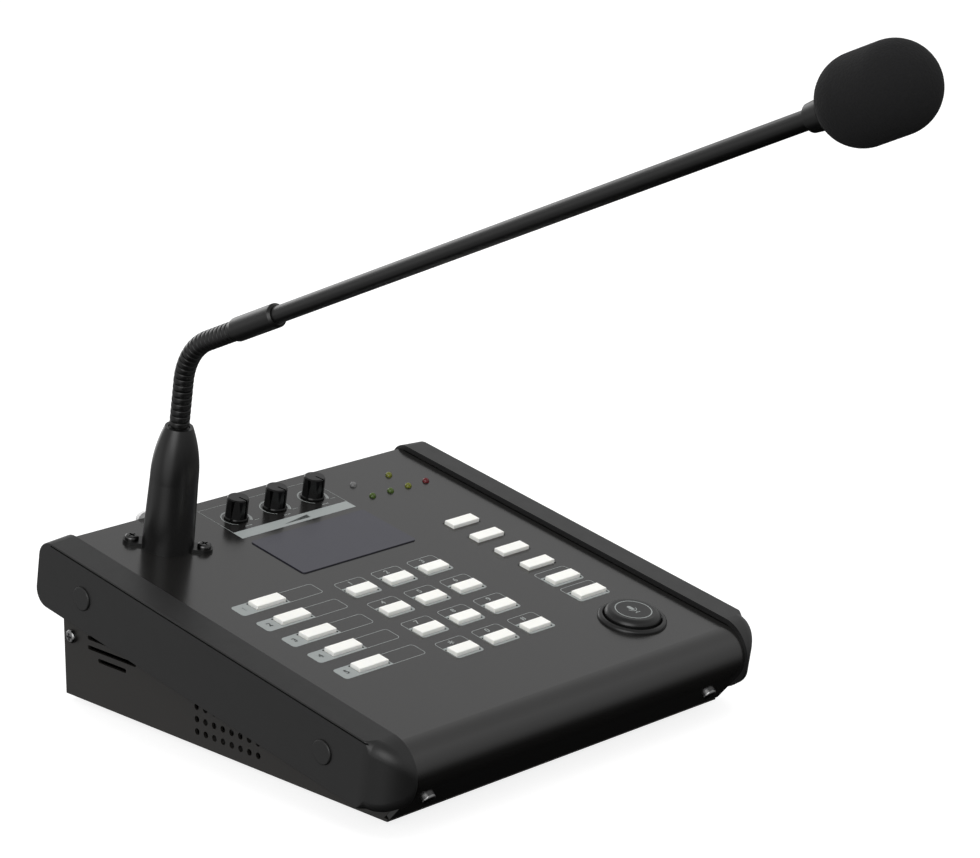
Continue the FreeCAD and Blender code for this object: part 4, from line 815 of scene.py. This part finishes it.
def key_frames(lines, tabs):
    """A thin frame round each pad key and the last two right keys, its front part filled."""
    for name in nodes:
        if name.startswith("pad_key_"):
            u, v = panel_middle(name)
            key = name.removeprefix("pad_key_")
            framed(lines, tabs, (u, v), PAD_FRAME, PAD_FILL, PAD_KEY_WIDTH)
            size, right, back = STAR_FIGURE if key == "star" else PAD_FIGURE
            lines.letters(PAD_SIGNS.get(key, key), size, (u + right, v + back), PAD_FIGURE_WEIGHT)
    for name in ("right_key_5", "right_key_6"):
        framed(lines, tabs, panel_middle(name), SIDE_FRAME, SIDE_FILL, SIDE_KEY_WIDTH)


def framed(lines, tabs, place, edges, fill, key_width):
    """A rounded frame round a key, its front part filled."""
    u, v = place
    left, right, front, rear = (edge * MM for edge in edges)
    lines.line(rounded_box(u + left, v + front, u + right, v + rear, FRAME_ROUND), LINE, closed=True)
    filled = rounded_box(u + left, v + front, u + right, v + fill * MM, FRAME_ROUND,
                         (True, True, False, False))
    tabs.plate(filled, key_opening(u, v, key_width))


# The bar under the knobs, its wedge, and the thin frame that runs round the knobs between its ends
BAR_LEFT, BAR_RIGHT = -29.8 * MM, 33.0 * MM
BAR_FRONT, BAR_REAR = 154.2 * MM, 160.3 * MM
WEDGE = [(-6.0 * MM, 156.0 * MM), (9.0 * MM, 156.0 * MM), (9.0 * MM, 158.6 * MM)]
KNOB_FRAME = [(-29.6 * MM, BAR_REAR), (-29.6 * MM, 183.2 * MM), (27.9 * MM, 183.2 * MM),
              (BAR_RIGHT, 175 * MM), (BAR_RIGHT, BAR_REAR)]
KNOB_FRAME_LINE = 0.2 * MM
# Round each knob: an arc, with the angles of its thin start and its thick end,
# and dashes as (u and v of the left end, length, height)
SCALE_RADIUS = 6.3 * MM
SCALE_TURN = (240, -45)
SCALE_STEPS = 60
SCALE_THIN, SCALE_THICK = 0.25 * MM, 1.3 * MM
KNOB_DASHES = [(-1.6 * MM, -8.0 * MM, 1.5 * MM, 0.55 * MM), (0.35 * MM, -8.0 * MM, 1.5 * MM, 0.55 * MM),
               (5.6 * MM, -5.2 * MM, 2.6 * MM, 0.25 * MM)]


def volume_print(lines, tabs, dark):
    """The bar under the knobs with its rising wedge, the thin frame round them and each knob's arc."""
    tabs.plate(rectangle(BAR_LEFT, BAR_FRONT, BAR_RIGHT, BAR_REAR))
    dark.plate(WEDGE)
    lines.line(KNOB_FRAME, KNOB_FRAME_LINE)
    for number in (1, 2, 3):
        u, v = panel_middle(f"volume_knob_{number}")
        scale = arc_points((u, v), SCALE_RADIUS, *SCALE_TURN, SCALE_STEPS)
        lines.line(scale, SCALE_THIN, end_width=SCALE_THICK)
        for left, back, length, height in KNOB_DASHES:
            lines.dash(u + left, v + back, length, height)


def prints():
    lines, tabs, dark = Print(), Print(), Print()
    left_tabs(lines, tabs, dark)
    key_frames(lines, tabs)
    volume_print(lines, tabs, dark)
    lines.finish("print_lines", LIGHT_INK)
    tabs.finish("print_tabs", TAB_INK)
    dark.finish("print_dark", DARK_INK)


# The talk button's ring, and a microphone sign from the middle of its face: head, cradle, stem and foot
TALK_RING, TALK_RING_LINE = 7.45 * MM, 0.45 * MM
RING_POINTS = 60
SIGN_LINE = 0.35 * MM
SIGN_HEAD = (-0.9 * MM, -0.2 * MM, 0.9 * MM, 3.4 * MM, 0.85 * MM)
CRADLE_V, CRADLE_RADIUS = 0.9 * MM, 1.9 * MM
CRADLE_STEPS = 16
SIGN_STEM = [(0, -1.0 * MM), (0, -2.4 * MM)]
SIGN_FOOT = [(-1.3 * MM, -2.5 * MM), (1.3 * MM, -2.5 * MM)]


def talk_print():
    """A ring and a plain microphone sign on the talk button's face."""
    u, v = panel_middle("talk_button")
    top = panel_span("talk_button")[1].z
    lines = Print(PANEL @ Matrix.Translation((u, v, top)))
    ring = arc_points((0, 0), TALK_RING, 0, 360 - 360 / RING_POINTS, RING_POINTS - 1)
    lines.line(ring, TALK_RING_LINE, closed=True)
    lines.plate(rounded_box(*SIGN_HEAD))
    lines.line(arc_points((0, CRADLE_V), CRADLE_RADIUS, 180, 360, CRADLE_STEPS), SIGN_LINE)
    lines.line(SIGN_STEM, SIGN_LINE)
    lines.line(SIGN_FOOT, SIGN_LINE)
    lines.finish("talk_print", LIGHT_INK, "talk_button")


# The light line in a knob's notch: its turn in degrees, reach from the axis, and heights
POINTER_TURN = 10
POINTER_INNER, POINTER_OUTER = 3.92 * MM, 4.10 * MM
POINTER_HALF = 0.22 * MM
POINTER_LOW, POINTER_BELOW_TOP = 3.2 * MM, 0.55 * MM


def knob_pointers():
    """A fine light line let into the notch of each knob."""
    turn = math.radians(POINTER_TURN)
    toward = Vector((math.sin(turn), -math.cos(turn), 0))
    across = Vector((math.cos(turn), math.sin(turn), 0))
    for number in (1, 2, 3):
        name = f"volume_knob_{number}"
        middle = Vector((*panel_middle(name), 0))
        top = panel_span(name)[1].z
        made = bmesh.new()
        corners = []
        for reach in (POINTER_INNER, POINTER_OUTER):
            for side in (-POINTER_HALF, POINTER_HALF):
                for height in (POINTER_LOW, top - POINTER_BELOW_TOP):
                    point = middle + toward * reach + across * side + Vector((0, 0, height))
                    corners.append(made.verts.new(PANEL @ point))
        bmesh.ops.convex_hull(made, input=corners)
        piece(f"knob_pointer_{number}", made, LIGHT_INK, name, smooth=False)


# Network jack

CONTACTS = 8
CONTACT_PITCH = 1.02 * MM
CONTACT_HALF = 0.18 * MM
# A contact's route, in mm: first (inwards from the jack's rear, up from the mouth's floor),
# then (inwards, down from the mouth's roof)
CONTACT_LOW = [(13.4, 1.2), (11.5, 1.0), (10.4, 1.6)]
CONTACT_HIGH = [(3.4, 1.0), (2.6, 0.7), (2.6, 0.2)]


def jack_contacts():
    """Eight springy gold wires in the mouth of the network jack."""
    (left, _, bottom), (right, _, top) = frame["record"]["physics"]["openings"][0]["box_m"]
    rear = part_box("network_jack")[1].y
    route = [(rear - inwards * MM, bottom + up * MM) for inwards, up in CONTACT_LOW]
    route += [(rear - inwards * MM, top - down * MM) for inwards, down in CONTACT_HIGH]
    corners = rectangle(-CONTACT_HALF, -CONTACT_HALF, CONTACT_HALF, CONTACT_HALF)
    made = bmesh.new()
    for i in range(CONTACTS):
        x = (left + right) / 2 + (i - (CONTACTS - 1) / 2) * CONTACT_PITCH
        sections = []
        for j, (y, z) in enumerate(route):
            before, after = route[max(0, j - 1)], route[min(len(route) - 1, j + 1)]
            along = Vector((0, after[0] - before[0], after[1] - before[1])).normalized()
            side = along.cross(RIGHT)
            centre = Vector((x, y, z))
            sections.append([made.verts.new(centre + RIGHT * a + side * b) for a, b in corners])
        join_sections(made, sections)
    piece("jack_contacts", made, GOLD, "base", smooth=False)


# Everything, in order

bpy.context.scene.view_settings.view_transform = "Standard"
add_camera()
add_world()
add_softbox()
add_floor()
dress_the_frame()
foam_windscreen()
for neck_node in NECK_LENGTHS:
    neck_skin(neck_node)
lamps()
prints()
talk_print()
knob_pointers()
jack_contacts()
